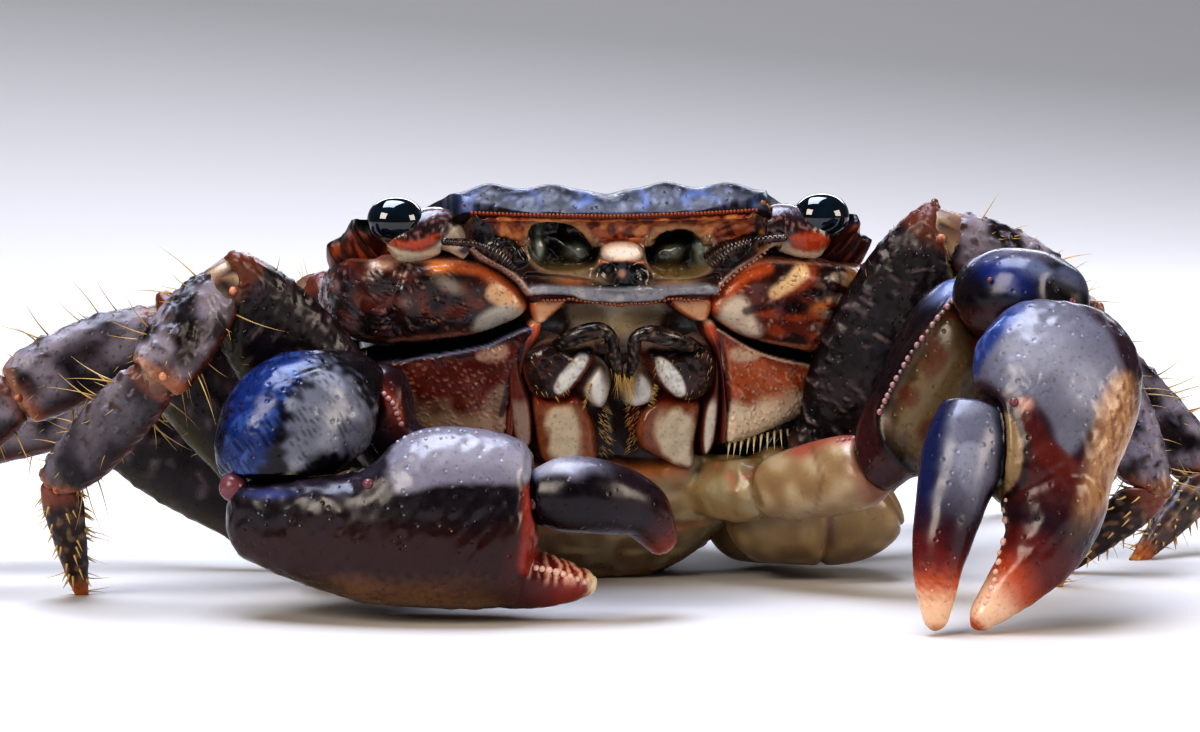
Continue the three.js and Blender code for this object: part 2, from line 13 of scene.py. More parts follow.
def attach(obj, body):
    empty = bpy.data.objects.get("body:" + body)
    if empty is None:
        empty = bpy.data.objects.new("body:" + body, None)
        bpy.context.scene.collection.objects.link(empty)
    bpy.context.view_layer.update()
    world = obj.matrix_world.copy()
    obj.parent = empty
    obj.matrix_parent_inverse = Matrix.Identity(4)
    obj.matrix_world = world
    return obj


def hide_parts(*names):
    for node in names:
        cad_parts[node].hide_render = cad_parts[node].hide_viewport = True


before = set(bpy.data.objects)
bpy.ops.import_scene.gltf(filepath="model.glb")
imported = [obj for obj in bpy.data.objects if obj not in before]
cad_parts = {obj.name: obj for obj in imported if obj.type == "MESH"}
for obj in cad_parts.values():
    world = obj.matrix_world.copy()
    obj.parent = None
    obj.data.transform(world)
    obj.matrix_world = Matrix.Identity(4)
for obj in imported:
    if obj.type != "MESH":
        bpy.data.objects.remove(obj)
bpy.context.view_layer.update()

scene = bpy.context.scene

# ---- Stage: floor, studio light and camera ----
# A plain pale sweep of card under the model, lit by a cool overhead softbox that gives the wet shell its
# blue-grey sheen, a strip from behind for the rims, and two warm softboxes in front.
SIGHT_FROM = np.array([-0.053126, -0.309960, 0.041179])
SIGHT_AZIMUTH, SIGHT_ELEVATION = math.radians(-10), math.radians(5)
LENS, SENSOR_WIDTH = 139.1, 36
CHART_WIDTH, CHART_HEIGHT = 1200, 732


def srgb(hex_colour):
    """An sRGB hex colour as linear red, green and blue."""
    parts = np.array([int(hex_colour[i : i + 2], 16) / 255 for i in (1, 3, 5)])
    return np.where(parts <= 0.04045, parts / 12.92, ((parts + 0.055) / 1.055) ** 2.4)


def add(tree, kind, inputs=None, **settings):
    """Adds a node with its settings, and with each input set to a value or linked to a socket."""
    made = tree.nodes.new(kind)
    for name, value in settings.items():
        setattr(made, name, value)
    for name, value in (inputs or {}).items():
        if isinstance(value, bpy.types.NodeSocket):
            tree.links.new(value, made.inputs[name])
        else:
            made.inputs[name].default_value = value
    return made


def select_only(*pieces):
    bpy.ops.object.select_all(action="DESELECT")
    for piece in pieces:
        piece.select_set(True)
    bpy.context.view_layer.objects.active = pieces[0]


def points_of(mesh):
    flat = np.empty(len(mesh.vertices) * 3, np.float32)
    mesh.vertices.foreach_get("co", flat)
    return flat.reshape(-1, 3).astype(float)


def put_points(mesh, points):
    mesh.vertices.foreach_set("co", points.astype(np.float32).ravel())
    mesh.update()


def aim(thing, place, target):
    thing.location = place
    thing.rotation_euler = (Vector(target) - Vector(place)).to_track_quat("-Z", "Y").to_euler()


sight_along = Vector(
    (
        -math.sin(SIGHT_AZIMUTH) * math.cos(SIGHT_ELEVATION),
        math.cos(SIGHT_AZIMUTH) * math.cos(SIGHT_ELEVATION),
        -math.sin(SIGHT_ELEVATION),
    )
)
bpy.ops.object.camera_add()
camera = bpy.context.object
camera.data.lens = LENS
camera.data.sensor_width = SENSOR_WIDTH
camera.data.clip_start = 0.01
aim(camera, SIGHT_FROM, Vector(SIGHT_FROM) + sight_along)
scene.camera = camera


sight_ahead = np.array(sight_along)
sight_right = np.array([math.cos(SIGHT_AZIMUTH), math.sin(SIGHT_AZIMUTH), 0])
sight_up = np.cross(sight_right, sight_ahead)
SIGHT_SCALE = LENS / SENSOR_WIDTH * CHART_WIDTH


def chart(points):
    """Where points in metres fall in the front view, in parts of its 1200 x 732: to the right, and down."""
    offset = points - SIGHT_FROM
    scale = SIGHT_SCALE / (offset @ sight_ahead)
    return np.stack(
        [CHART_WIDTH / 2 + offset @ sight_right * scale, CHART_HEIGHT / 2 - offset @ sight_up * scale], -1
    )


bpy.ops.mesh.primitive_plane_add(size=1)
floor = bpy.context.object
floor.name = "floor"
bpy.ops.object.mode_set(mode="EDIT")
bpy.ops.mesh.subdivide(number_cuts=47)
bpy.ops.object.mode_set(mode="OBJECT")
sweep = points_of(floor.data) * (1.6, 1.1, 1) + (0, 0.25, 0)
behind = np.maximum(sweep[:, 1] - 0.3, 0)
sweep[:, 2] = 1.1 * behind**2
put_points(floor.data, sweep)
bpy.ops.object.shade_smooth()
card = bpy.data.materials.new("matt_card")
card.use_nodes = True
card_grain = add(card.node_tree, "ShaderNodeTexNoise", {"Scale": 160.0, "Detail": 3.0})
card_bump = add(
    card.node_tree,
    "ShaderNodeBump",
    {"Strength": 0.1, "Distance": 0.0004, "Height": card_grain.outputs["Fac"]},
)
card_surface = card.node_tree.nodes["Principled BSDF"]
card_surface.inputs["Base Color"].default_value = (*srgb("#cfccc8"), 1)
card_surface.inputs["Roughness"].default_value = 0.85
card.node_tree.links.new(card_bump.outputs["Normal"], card_surface.inputs["Normal"])
floor.data.materials.append(card)

room = bpy.data.worlds.new("studio")
room.use_nodes = True
room.node_tree.nodes["Background"].inputs["Color"].default_value = (*srgb("#b9bcc4"), 1)
room.node_tree.nodes["Background"].inputs["Strength"].default_value = 0.17
scene.world = room
SOFTBOXES = [
    # name, place, aimed at, width, height, watts, colour
    ("overhead", (-0.05, 0.02, 0.42), (0, -0.01, 0.01), 0.34, 0.26, 2.3, "#dfe8ff"),
    ("rear_strip", (0.1, 0.34, 0.22), (0, 0, 0.015), 0.5, 0.12, 0.75, "#eef2ff"),
    ("front_left", (-0.34, -0.3, 0.26), (-0.01, -0.02, 0.012), 0.24, 0.24, 1.35, "#fff4e6"),
    ("front_right", (0.36, -0.26, 0.16), (0.01, -0.02, 0.012), 0.2, 0.2, 0.8, "#fff0e0"),
]
for name, place, target, width, height, watts, tone in SOFTBOXES:
    lamp = bpy.data.lights.new(name, "AREA")
    lamp.shape = "RECTANGLE"
    lamp.size, lamp.size_y, lamp.energy = width, height, watts
    lamp.color = srgb(tone)
    softbox = bpy.data.objects.new(name, lamp)
    scene.collection.objects.link(softbox)
    aim(softbox, place, target)
scene.view_settings.view_transform = "Standard"
scene.view_settings.look = "High Contrast"

# ---- Carapace ----
# The one-piece shield over the back: calcified chitin, wet and glossy, nearly black violet marbled with
# olive-yellow. Its front margin is a beaded edge over a bare orange strip, and its back is finely striated.
FRONT_HALF = [(0, 0), (3.5, -0.1), (7, 0.1), (9.6, 0.35), (10.4, 1.0)]
ORBIT_HALF = [(10.8, 2.6), (12.2, 4.2), (14.2, 4.7), (15.7, 4.2)]
TEETH_HALF = [(16.9, 2.9), (17.3, 5.4), (18.3, 5.4), (18.1, 7.6), (17.7, 8.6), (18.2, 8.8)]
SIDE_HALF = [(17.7, 12), (16.9, 16), (15.4, 21), (13.0, 25.6), (9.6, 29.3), (6, 30.6)]
SHELL_LENGTH = 31
SHELL_MIDDLE = 16
HALF_WIDTH = [(0, 18.5), (9, 18.2), (15, 17.2), (19, 16.2), (23, 14.6), (26.5, 12.3), (29.3, 9.6), (31, 7)]
BACK_HEIGHT = [
    (0, 0), (0.6, 1.5), (1.6, 2.75), (3, 3.25), (6, 3.45), (12, 3.7), (18, 3.5), (23, 2.7), (27, 1.3), (31, -0.8)
]
MARGIN_HEIGHT = [(0, 0.1), (3, 0.9), (5.5, 0.9), (9, 0.4), (14, -0.4), (20, -1.2), (26, -1.8), (31, -1.4)]
RIM_DEPTH = 0.9
NOSE = Vector((0, -15, 24.7))
TILT = math.radians(30)
MM = 0.001
BODY = Matrix.Scale(MM, 4) @ Matrix.Translation(NOSE) @ Matrix.Rotation(-TILT, 4, "X")
BODY_ARRAY = np.array(BODY)


def from_body(points):
    """Points in the body's own frame in mm (x left, y to the rear, z off the back) as metres in place."""
    return points @ BODY_ARRAY[:3, :3].T + BODY_ARRAY[:3, 3]


def profile(pairs, at):
    """Value of a smooth curve through (position, value) pairs."""
    xs, ys = np.array(pairs, float).T
    at = np.clip(at, xs[0], xs[-1])
    i = np.clip(np.searchsorted(xs, at, side="right") - 1, 0, len(xs) - 2)
    before, after = np.maximum(i - 1, 0), np.minimum(i + 2, len(xs) - 1)
    width = xs[i + 1] - xs[i]
    leaving = (ys[i + 1] - ys[before]) / (xs[i + 1] - xs[before]) * width
    arriving = (ys[after] - ys[i]) / (xs[after] - xs[i]) * width
    u = (at - xs[i]) / width
    ease = u * u * (3 - 2 * u)
    return ys[i] * (1 - ease) + ys[i + 1] * ease + u * (1 - u) * ((1 - u) * leaving - u * arriving)


def mottle(points, size, seed):
    """A smooth random field over points, from about -1 to 1, with grains of that size in the points' unit."""
    rng = np.random.default_rng(seed)
    waves = rng.normal(size=(20, 3))
    waves *= (2 * math.pi / size) * rng.uniform(0.5, 1.3, (20, 1)) / np.linalg.norm(waves, axis=1, keepdims=True)
    return np.sin(points @ waves.T + rng.uniform(0, 2 * math.pi, 20)).sum(1) / 5


def ramp(value, low, high):
    """0 up to low, 1 from high, and smooth between them."""
    u = np.clip((value - low) / (high - low), 0, 1)
    return u * u * (3 - 2 * u)


def new_piece(name, points, faces, turn_out=True):
    """A smooth-shaded piece from points in metres and faces, turned outwards first unless they already are."""
    mesh = bpy.data.meshes.new(name)
    mesh.from_pydata(points.tolist(), [], faces)
    piece = bpy.data.objects.new(name, mesh)
    scene.collection.objects.link(piece)
    select_only(piece)
    if turn_out:
        bpy.ops.object.mode_set(mode="EDIT")
        bpy.ops.mesh.select_all(action="SELECT")
        bpy.ops.mesh.normals_make_consistent(inside=False)
        bpy.ops.object.mode_set(mode="OBJECT")
    bpy.ops.object.shade_smooth()
    return piece


def skin_over(name, rings):
    """A closed skin over rings of equally many points, with a fan over each end."""
    rings = np.asarray(rings)
    rows, count = rings.shape[:2]
    a = np.arange((rows - 1) * count).reshape(rows - 1, count)
    b = np.roll(a, -1, 1)
    faces = np.stack([a, b, b + count, a + count], -1).reshape(-1, 4).tolist()
    first_middle, last_middle, last = rows * count, rows * count + 1, (rows - 1) * count
    for j in range(count):
        k = (j + 1) % count
        faces += [[first_middle, k, j], [last_middle, last + j, last + k]]
    return new_piece(name, np.vstack([rings.reshape(-1, 3), rings[0].mean(0), rings[-1].mean(0)]), faces)


def paint(piece, base, *coats):
    """Gives a piece its tint, a colour at each point: a base with coats of (colour, cover) laid over it in turn."""
    tint = np.tile(srgb(base), (len(piece.data.vertices), 1))
    for colour, cover in coats:
        cover = np.clip(cover, 0, 1)[:, None]
        tint = tint * (1 - cover) + srgb(colour) * cover
    layer = piece.data.color_attributes.get("tint") or piece.data.color_attributes.new("tint", "FLOAT_COLOR", "POINT")
    layer.data.foreach_set("color", np.hstack([tint, np.ones((len(tint), 1))]).astype(np.float32).ravel())


def shell_finish(
    name, roughness, fleck="#120a0c", flecks=0.35, fleck_size=0.5, pit_size=0.7, pit_depth=0.05, wet=0.5,
    uneven=0.35, gloss=1.5
):
    """Wet crab shell, calcified chitin with its waxy skin: the painted tint with dark flecks and shallow pits
    where bristles stood, under a thin film of water. Sizes are in mm."""
    material = bpy.data.materials.new(name)
    material.use_nodes = True
    tree = material.node_tree
    surface = tree.nodes["Principled BSDF"]
    place = add(tree, "ShaderNodeTexCoord").outputs["Object"]
    tint = add(tree, "ShaderNodeAttribute", attribute_name="tint").outputs["Color"]
    grain = add(
        tree,
        "ShaderNodeTexNoise",
        {"Vector": place, "Scale": 1 / (fleck_size * MM), "Detail": 4.0, "Roughness": 0.6},
    ).outputs["Fac"]
    cover = add(
        tree,
        "ShaderNodeMapRange",
        {"Value": grain, "From Min": 0.56, "From Max": 0.68, "To Min": 0.0, "To Max": flecks},
    ).outputs["Result"]
    flecked = add(tree, "ShaderNodeMix", {0: cover, 6: tint, 7: (*srgb(fleck), 1)}, data_type="RGBA").outputs[2]
    tree.links.new(flecked, surface.inputs["Base Color"])
    pits = add(
        tree,
        "ShaderNodeTexVoronoi",
        {"Vector": place, "Scale": 1 / (pit_size * MM), "Randomness": 1.0},
    ).outputs["Distance"]
    dimple = add(
        tree,
        "ShaderNodeMapRange",
        {"Value": pits, "From Min": 0.0, "From Max": 0.28, "To Min": 0.0, "To Max": 1.0},
        interpolation_type="SMOOTHSTEP",
    ).outputs["Result"]
    undulation = add(
        tree,
        "ShaderNodeTexNoise",
        {"Vector": place, "Scale": 1 / (0.9 * MM), "Detail": 3.0},
    ).outputs["Fac"]
    pitted = add(
        tree,
        "ShaderNodeBump",
        {"Strength": 0.6, "Distance": pit_depth * MM, "Height": dimple},
    ).outputs["Normal"]
    swollen = add(
        tree,
        "ShaderNodeBump",
        {"Strength": uneven, "Distance": 0.12 * MM, "Height": undulation, "Normal": pitted},
    ).outputs["Normal"]
    dulled = add(
        tree,
        "ShaderNodeMapRange",
        {
            "Value": undulation, "From Min": 0.35, "From Max": 0.7, "To Min": roughness * 0.75,
            "To Max": roughness * 1.5
        },
    ).outputs["Result"]
    tree.links.new(swollen, surface.inputs["Normal"])
    tree.links.new(dulled, surface.inputs["Roughness"])
    surface.inputs["IOR"].default_value = gloss
    surface.inputs["Coat Weight"].default_value = wet
    surface.inputs["Coat Roughness"].default_value = 0.2
    surface.inputs["Coat IOR"].default_value = 1.36
    return material


def finish_piece(piece, material, slot, *replaced):
    """Stands the piece on the ground, not in it, and hands it its material and the solids it stands for; the slot is
    not used.
    """
    placed = points_of(piece.data)
    placed[:, 2] = np.maximum(placed[:, 2], 0)
    put_points(piece.data, placed)
    piece.data.materials.clear()
    piece.data.materials.append(material)
    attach(piece, "root")
    if replaced:
        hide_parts(*replaced)


def lobe_form(x):
    """Four low lobes behind the front margin: 1 on their tops."""
    return np.exp(-(((np.abs(x) - 3.8) / 1.3) ** 2)) + np.exp(-(((np.abs(x) - 7.9) / 1.35) ** 2))


def front_bow(x, y):
    """How far the front margin rises towards its two corners."""
    return 0.5 * np.clip(np.abs(x) / 9.8, 0, 1) ** 2 * ramp(np.abs(x), 12.5, 10) * np.exp(-((y / 1.6) ** 2))


def back_height(x, y):
    out = np.minimum(np.abs(x) / profile(HALF_WIDTH, y), 1)
    lobes = (0.5 * lobe_form(x) - 0.28 * np.exp(-((x / 1.2) ** 2))) * np.exp(-(((y - 1.5) / 1.1) ** 2))
    rise = out**3.2
    flat = profile(BACK_HEIGHT, y) * (1 - rise) + profile(MARGIN_HEIGHT, y) * rise
    return flat + lobes * np.clip(y, 0, 1) * np.clip((11 - np.abs(x)) / 2, 0, 1) + front_bow(x, y)


def along_outline(corners, spacing, ease):
    """Points at even spacing along a closed outline, with its corners eased that many times."""
    corners = np.array(corners, float)
    looped = np.vstack([corners, corners[:1]])
    steps = np.linalg.norm(np.diff(looped, axis=0), axis=1)
    distance = np.concatenate([[0], np.cumsum(steps)])
    at = np.linspace(0, distance[-1], int(distance[-1] / spacing), endpoint=False)
    eased = np.stack([np.interp(at, distance, looped[:, i]) for i in range(looped.shape[1])], -1)
    for _ in range(ease):
        eased = (np.roll(eased, 1, 0) + 2 * eased + np.roll(eased, -1, 0)) / 4
    return eased


half_outline = FRONT_HALF + ORBIT_HALF + TEETH_HALF + SIDE_HALF
shell_outline = along_outline(half_outline + [(0, SHELL_LENGTH)] + [(-x, y) for x, y in half_outline[:0:-1]], 0.28, 3)


def shell_ring(share, height):
    """The outline of the carapace drawn in towards its middle, at a height given there and at the margin."""
    x = shell_outline[:, 0] * share
    y = SHELL_MIDDLE + (shell_outline[:, 1] - SHELL_MIDDLE) * share
    return np.stack([x, y, height(x, y, shell_outline[:, 1])], -1)


def over_face(x, margin):
    """1 where the rim passes over the face, and 0 elsewhere."""
    return ramp(11.4 - np.abs(x), 0, 0.8) * ramp(2.6 - margin, 0, 1)


def rim(x, y, margin, share_of_depth):
    """Height under the edge: thin over the face, where the bare strip of the face begins, and thick elsewhere."""
    depth = RIM_DEPTH * share_of_depth * (1 - 0.75 * over_face(x, margin))
    return profile(MARGIN_HEIGHT, margin) + front_bow(x, y) - depth


def lining(x, y, margin, plain):
    """Height of the inner face: close under the back over the face, and at a plain level elsewhere."""
    hidden = over_face(x, margin)
    return plain * (1 - hidden) + (back_height(x, y) - 0.3) * hidden


under_rings = [
    shell_ring(0.8, lambda x, y, margin: lining(x, y, margin, -1.2)),
    shell_ring(0.88, lambda x, y, margin: lining(x, y, margin, -1.25)),
    shell_ring(
        0.945, lambda x, y, margin: lining(x, y, margin, (profile(MARGIN_HEIGHT, margin) - RIM_DEPTH) * 0.7 - 0.36)
    ),
    shell_ring(0.965, lambda x, y, margin: rim(x, y, margin, 1)),
    shell_ring(0.982, lambda x, y, margin: rim(x, y, margin, 0.62)),
    shell_ring(0.995, lambda x, y, margin: rim(x, y, margin, 0.2)),
    shell_ring(1.0, lambda x, y, margin: rim(x, y, margin, 0) + 0.02),
]
over_shares = [0.994, 0.986, 0.977, 0.967] + list(0.955 - 0.955 * np.linspace(0, 1, 62)[:-1] ** 1.05)
over_rings = [shell_ring(share, lambda x, y, margin: back_height(x, y)) for share in over_shares]
rings = np.array(under_rings + over_rings)
carapace = skin_over("carapace_shell", from_body(rings))
local = np.vstack([rings.reshape(-1, 3), rings[0].mean(0), rings[-1].mean(0)])
x, y = local.T[:2]
is_top = np.arange(len(local)) >= (len(under_rings) - 1) * rings.shape[1]
is_top[-2] = False
rear_fade = ramp(y, 1.5, 5)
striae = np.sin(2 * math.pi * (y * 1.15 + 0.8 * mottle(local * (0.35, 1, 1), 7, 3)))
striae = np.maximum(striae, 0) ** 3 * (0.35 + 0.65 * ramp(np.abs(x), 5, 15))
swell = 0.12 * mottle(local, 6, 4) + 0.05 * mottle(local, 1.6, 5)
furrow = -0.3 * np.exp(-((np.abs(x) / 0.8) ** 2)) * np.exp(-(((y - 4.2) / 3) ** 2))
gastric = -0.3 * np.exp(-(((np.abs(x) - (4.2 + 0.12 * y)) / 0.9) ** 2)) * np.exp(-(((y - 15) / 3.5) ** 2))
cervical = -0.3 * np.exp(-(((y - 12.5 - 0.05 * x**2 * 0.4) / 0.9) ** 2)) * ramp(14 - np.abs(x), 0, 4)
relief = np.where(
    is_top, swell * (0.4 + 0.6 * rear_fade) + 0.09 * striae * rear_fade + furrow + gastric + cervical, 0
)
local[:, 2] += relief
put_points(carapace.data, from_body(local))
flow = local * (0.55, 1.4, 1)
marble = ramp(mottle(flow, 3.2, 11) + 0.5 * mottle(flow, 1.1, 12) - 0.25, -0.1, 0.35)
front = np.exp(-((np.maximum(y - 0.2, 0) / 2.6) ** 2)) * is_top
under = ~is_top
beside_nose = ramp(11.6 - np.abs(x), 0, 1)
paint(
    carapace,
    "#1d171d",
    ("#4a4630", 0.75 * marble * is_top * rear_fade),
    ("#5e5a40", 0.8 * striae * is_top * rear_fade * marble),
    ("#3a2c3c", 0.6 * ramp(mottle(local, 2.2, 13), 0, 0.8) * is_top),
    ("#1d2231", 0.92 * front * beside_nose),
    # Painted sheen: the blue lines round the four front lobes and the pale lavender flecks on the front band.
    (
        "#5268a0",
        0.7 * front * beside_nose * np.exp(-(((lobe_form(x) + 0.25 * mottle(local, 2.4, 15) - 0.4) / 0.12) ** 2))
    ),
    ("#120e14", 0.95 * front * beside_nose * ramp(lobe_form(x) + 0.3 * mottle(local, 1.6, 14), 0.5, 0.8)),
    ("#8b8ea6", 0.35 * front * beside_nose * ramp(mottle(local, 0.45, 16), 0.45, 0.75)),
    ("#20141a", 0.9 * np.exp(-(((y - 0.12) / 0.14) ** 2)) * beside_nose),
    ("#45180e", under * ramp(15 - y, 0, 4)),
    ("#a8522a", 0.8 * under * ramp(15 - y, 0, 4) * ramp(mottle(local, 0.8, 17), 0.25, 0.6)),
    ("#7a3a20", under * beside_nose * 0.9),
    # Painted shade under the carapace's front corners, over the orange strip.
    ("#1c1214", under * ramp(np.abs(x), 9.1, 9.6) * ramp(13.5 - np.abs(x), 0, 1) * ramp(5 - y, 0, 1)),
    ("#6b3222", under * ramp(y, 12, 18)),
)
back_shell = shell_finish(
    "wet_chitin_back", 0.34, flecks=0.5, fleck_size=0.35, pit_size=0.6, pit_depth=0.05, wet=0.1, gloss=1.38
)
finish_piece(carapace, back_shell, "shell_back", "carapace")


def template_of(thing):
    """Points and faces of a small thing that is repeated, which then leaves the scene."""
    points, faces = points_of(thing.data), [tuple(face.vertices) for face in thing.data.polygons]
    bpy.data.objects.remove(thing)
    return points, faces


def copies(name, template, placed):
    """One piece of many copies of a template, from the points of each copy in metres."""
    points, faces = template
    faces = [[i + k * len(points) for i in face] for k in range(len(placed)) for face in faces]
    return new_piece(name, np.concatenate(placed), faces, turn_out=False)


bpy.ops.mesh.primitive_ico_sphere_add(subdivisions=2, radius=1)
bead_template = template_of(bpy.context.object)


def beads(name, places, colour, material, slot):
    """Rounded grains of shell: each place is (point in mm, radius)."""
    piece = copies(name, bead_template, [(np.array(at) + bead_template[0] * radius) * MM for at, radius in places])
    paint(piece, colour)
    finish_piece(piece, material, slot)


margin_line = np.array([(x, y) for x, y in shell_outline if y < 0.8 and abs(x) < 10.3])
margin_line = margin_line[np.argsort(margin_line[:, 0])]
bead_x = np.arange(-9.4, 9.45, 0.25)
bead_y = np.interp(bead_x, margin_line[:, 0], margin_line[:, 1])
bead_z = profile(MARGIN_HEIGHT, bead_y) + front_bow(bead_x, bead_y) - 0.09
margin_beads = from_body(np.stack([bead_x, bead_y + 0.07, bead_z], -1)) / MM
beads("margin_beads", [(at, 0.125) for at in margin_beads], "#8a4526", back_shell, "shell_back")

# ---- Under side of the body ----
# One rounded hull under the carapace carries every plate of the face, cheeks and flanks. It is drawn here as
# an unrolled sheet: columns run round the body from the middle of the front, and rows run down from the rim.
# In the grooves between the plates its own dark wet skin shows.
BODY_PLAN = [
    (0, 0), (0.4, 0), (0.72, 0.01), (0.9, 0.05), (0.98, 0.14), (1, 0.28), (0.97, 0.45), (0.89, 0.62), (0.76, 0.78),
    (0.57, 0.91), (0.3, 0.985), (0, 1)
]
UNDER_HALF = [
    (-17.2, 3.0), (-16.3, 6.0), (-14.6, 8.8), (-12.0, 11.6), (-8.0, 14.6), (-4.8, 16.3), (-3.0, 16.9), (-1.5, 17.1),
    (0, 17.0)
]
UNDER_FRONT = [
    (-17.2, 18.6), (-16.3, 16.6), (-14.6, 14.2), (-12.0, 11.8), (-8.0, 8.5), (-4.8, 5.8), (-3.0, 4.3), (-1.5, 3.4),
    (0, 2.6)
]
UNDER_REAR = [
    (-17.2, 21.0), (-16.3, 22.6), (-14.6, 24.4), (-12.0, 26.0), (-8.0, 28.2), (-4.8, 29.4), (-3.0, 30.1),
    (-1.5, 30.2), (0, 30.2)
]
CHART_STEP = 0.0647  # mm of the model per unit of the front chart
SPACING = 0.085
CORNER_CUTS = 2
FAR = 9.0
SEARCH_REACH = 1.2 / CHART_STEP
EDGE_OVERLAP, EDGE_SLOPE = 0.4, 3.6  # how far a plate goes on past its outline, and how steeply it sinks there
PLATE_WALL = 0.3
CORE_DEPTH = 1.3

plan = np.array(BODY_PLAN) * (16.2, 23.4)
plan_arc = np.concatenate([[0], np.cumsum(np.linalg.norm(np.diff(plan, axis=0), axis=1))])
half_columns = np.concatenate([np.arange(0, 20, SPACING), np.arange(20, plan_arc[-1], 0.4)])
columns = np.concatenate([-half_columns[:0:-1], half_columns])
levels = -np.concatenate([np.arange(0.0, 13.4, SPACING * 0.78), np.arange(13.4, 17.1, 0.2)])
shelf = np.linspace(1, 0, 28, endpoint=False)  # rows under the front margin, where the sheet bends forward
plan_x = np.sign(columns) * profile(list(zip(plan_arc, plan[:, 0] / 16.2)), np.abs(columns))
plan_y = profile(list(zip(plan_arc, plan[:, 1] / 23.4)), np.abs(columns))
hull_half, hull_front, hull_rear = (
    profile(pairs, np.concatenate([0 * shelf, levels]))[:, None] for pairs in (UNDER_HALF, UNDER_FRONT, UNDER_REAR)
)
hull_front[: len(shelf), 0] -= 2.25 * shelf
levels = np.concatenate([-0.1 * shelf**2 - 0.12 * np.sin(shelf * math.pi), levels])
hull = np.stack(
    [hull_half * plan_x, hull_front + (hull_rear - hull_front) * plan_y, levels[:, None] + 0 * hull_half * plan_x],
    -1
)
across_hull, down_hull = np.gradient(hull, axis=1), np.gradient(hull, axis=0)
hull_normal = np.cross(across_hull, -down_hull)
hull_normal /= np.linalg.norm(hull_normal, axis=2, keepdims=True)
hull_chart = chart(from_body(hull.reshape(-1, 3))).reshape(hull.shape[:2] + (2,))
hull_v = hull_chart[..., 1]
surface_step = np.linalg.norm(np.diff(hull, axis=1), axis=2) / CHART_STEP
chart_step = np.maximum(np.diff(hull_chart[..., 0], axis=1), 0.3 * surface_step)
middle = len(columns) // 2
hull_u = np.zeros(hull.shape[:2])
hull_u[:, middle + 1 :] = np.cumsum(chart_step[:, middle:], axis=1)
hull_u[:, :middle] = -np.cumsum(chart_step[:, :middle][:, ::-1], axis=1)[:, ::-1]
hull_u += hull_chart[:, middle : middle + 1, 0]


def depth_inside(outline, u, v):
    """Depth in mm inside a closed outline given on the front chart, negative outside it."""
    corners = np.array(outline, float)
    for _ in range(CORNER_CUTS):
        ahead = np.roll(corners, -1, 0)
        corners = np.stack([0.75 * corners + 0.25 * ahead, 0.25 * corners + 0.75 * ahead], 1).reshape(-1, 2)
    shape = u.shape
    u, v = u.ravel(), v.ravel()
    result = np.full(len(u), -FAR)
    low, high = corners.min(0) - SEARCH_REACH, corners.max(0) + SEARCH_REACH
    near = (u > low[0]) & (u < high[0]) & (v > low[1]) & (v < high[1])
    points = np.stack([u[near], v[near]], -1)
    nearest = np.full(len(points), 1e9)
    crossings = np.zeros(len(points), bool)
    for a, b in zip(corners, np.roll(corners, -1, 0)):
        edge, offset = b - a, points - a
        share = np.clip(offset @ edge / max(edge @ edge, 1e-9), 0, 1)
        nearest = np.minimum(nearest, ((offset - share[:, None] * edge) ** 2).sum(1))
        spans = (a[1] > points[:, 1]) != (b[1] > points[:, 1])
        if a[1] != b[1]:
            crossings ^= spans & (points[:, 0] < edge[0] * (points[:, 1] - a[1]) / (b[1] - a[1]) + a[0])
    result[near] = np.sqrt(nearest) * np.where(crossings, 1, -1) * CHART_STEP
    return result.reshape(shape)


def distance_to_line(line, u, v):
    """Distance in mm to a line of points given on the front chart."""
    line = np.array(line, float)
    points = np.stack([u, v], -1)
    nearest = np.full(u.shape, 1e9)
    for a, b in zip(line[:-1], line[1:]):
        edge, offset = b - a, points - a
        share = np.clip(offset @ edge / max(edge @ edge, 1e-9), 0, 1)
        nearest = np.minimum(nearest, ((offset - share[..., None] * edge) ** 2).sum(-1))
    return np.sqrt(nearest) * CHART_STEP


def spot(u, v, centre, radii, turn=0):
    """1 in the middle of a soft oval spot on the front chart, falling off to 0."""
    angle = math.radians(turn)
    du, dv = u - centre[0], v - centre[1]
    along = (du * math.cos(angle) + dv * math.sin(angle)) / radii[0]
    beside = (dv * math.cos(angle) - du * math.sin(angle)) / radii[1]
    return np.exp(-(along**2 + beside**2) ** 1.5)


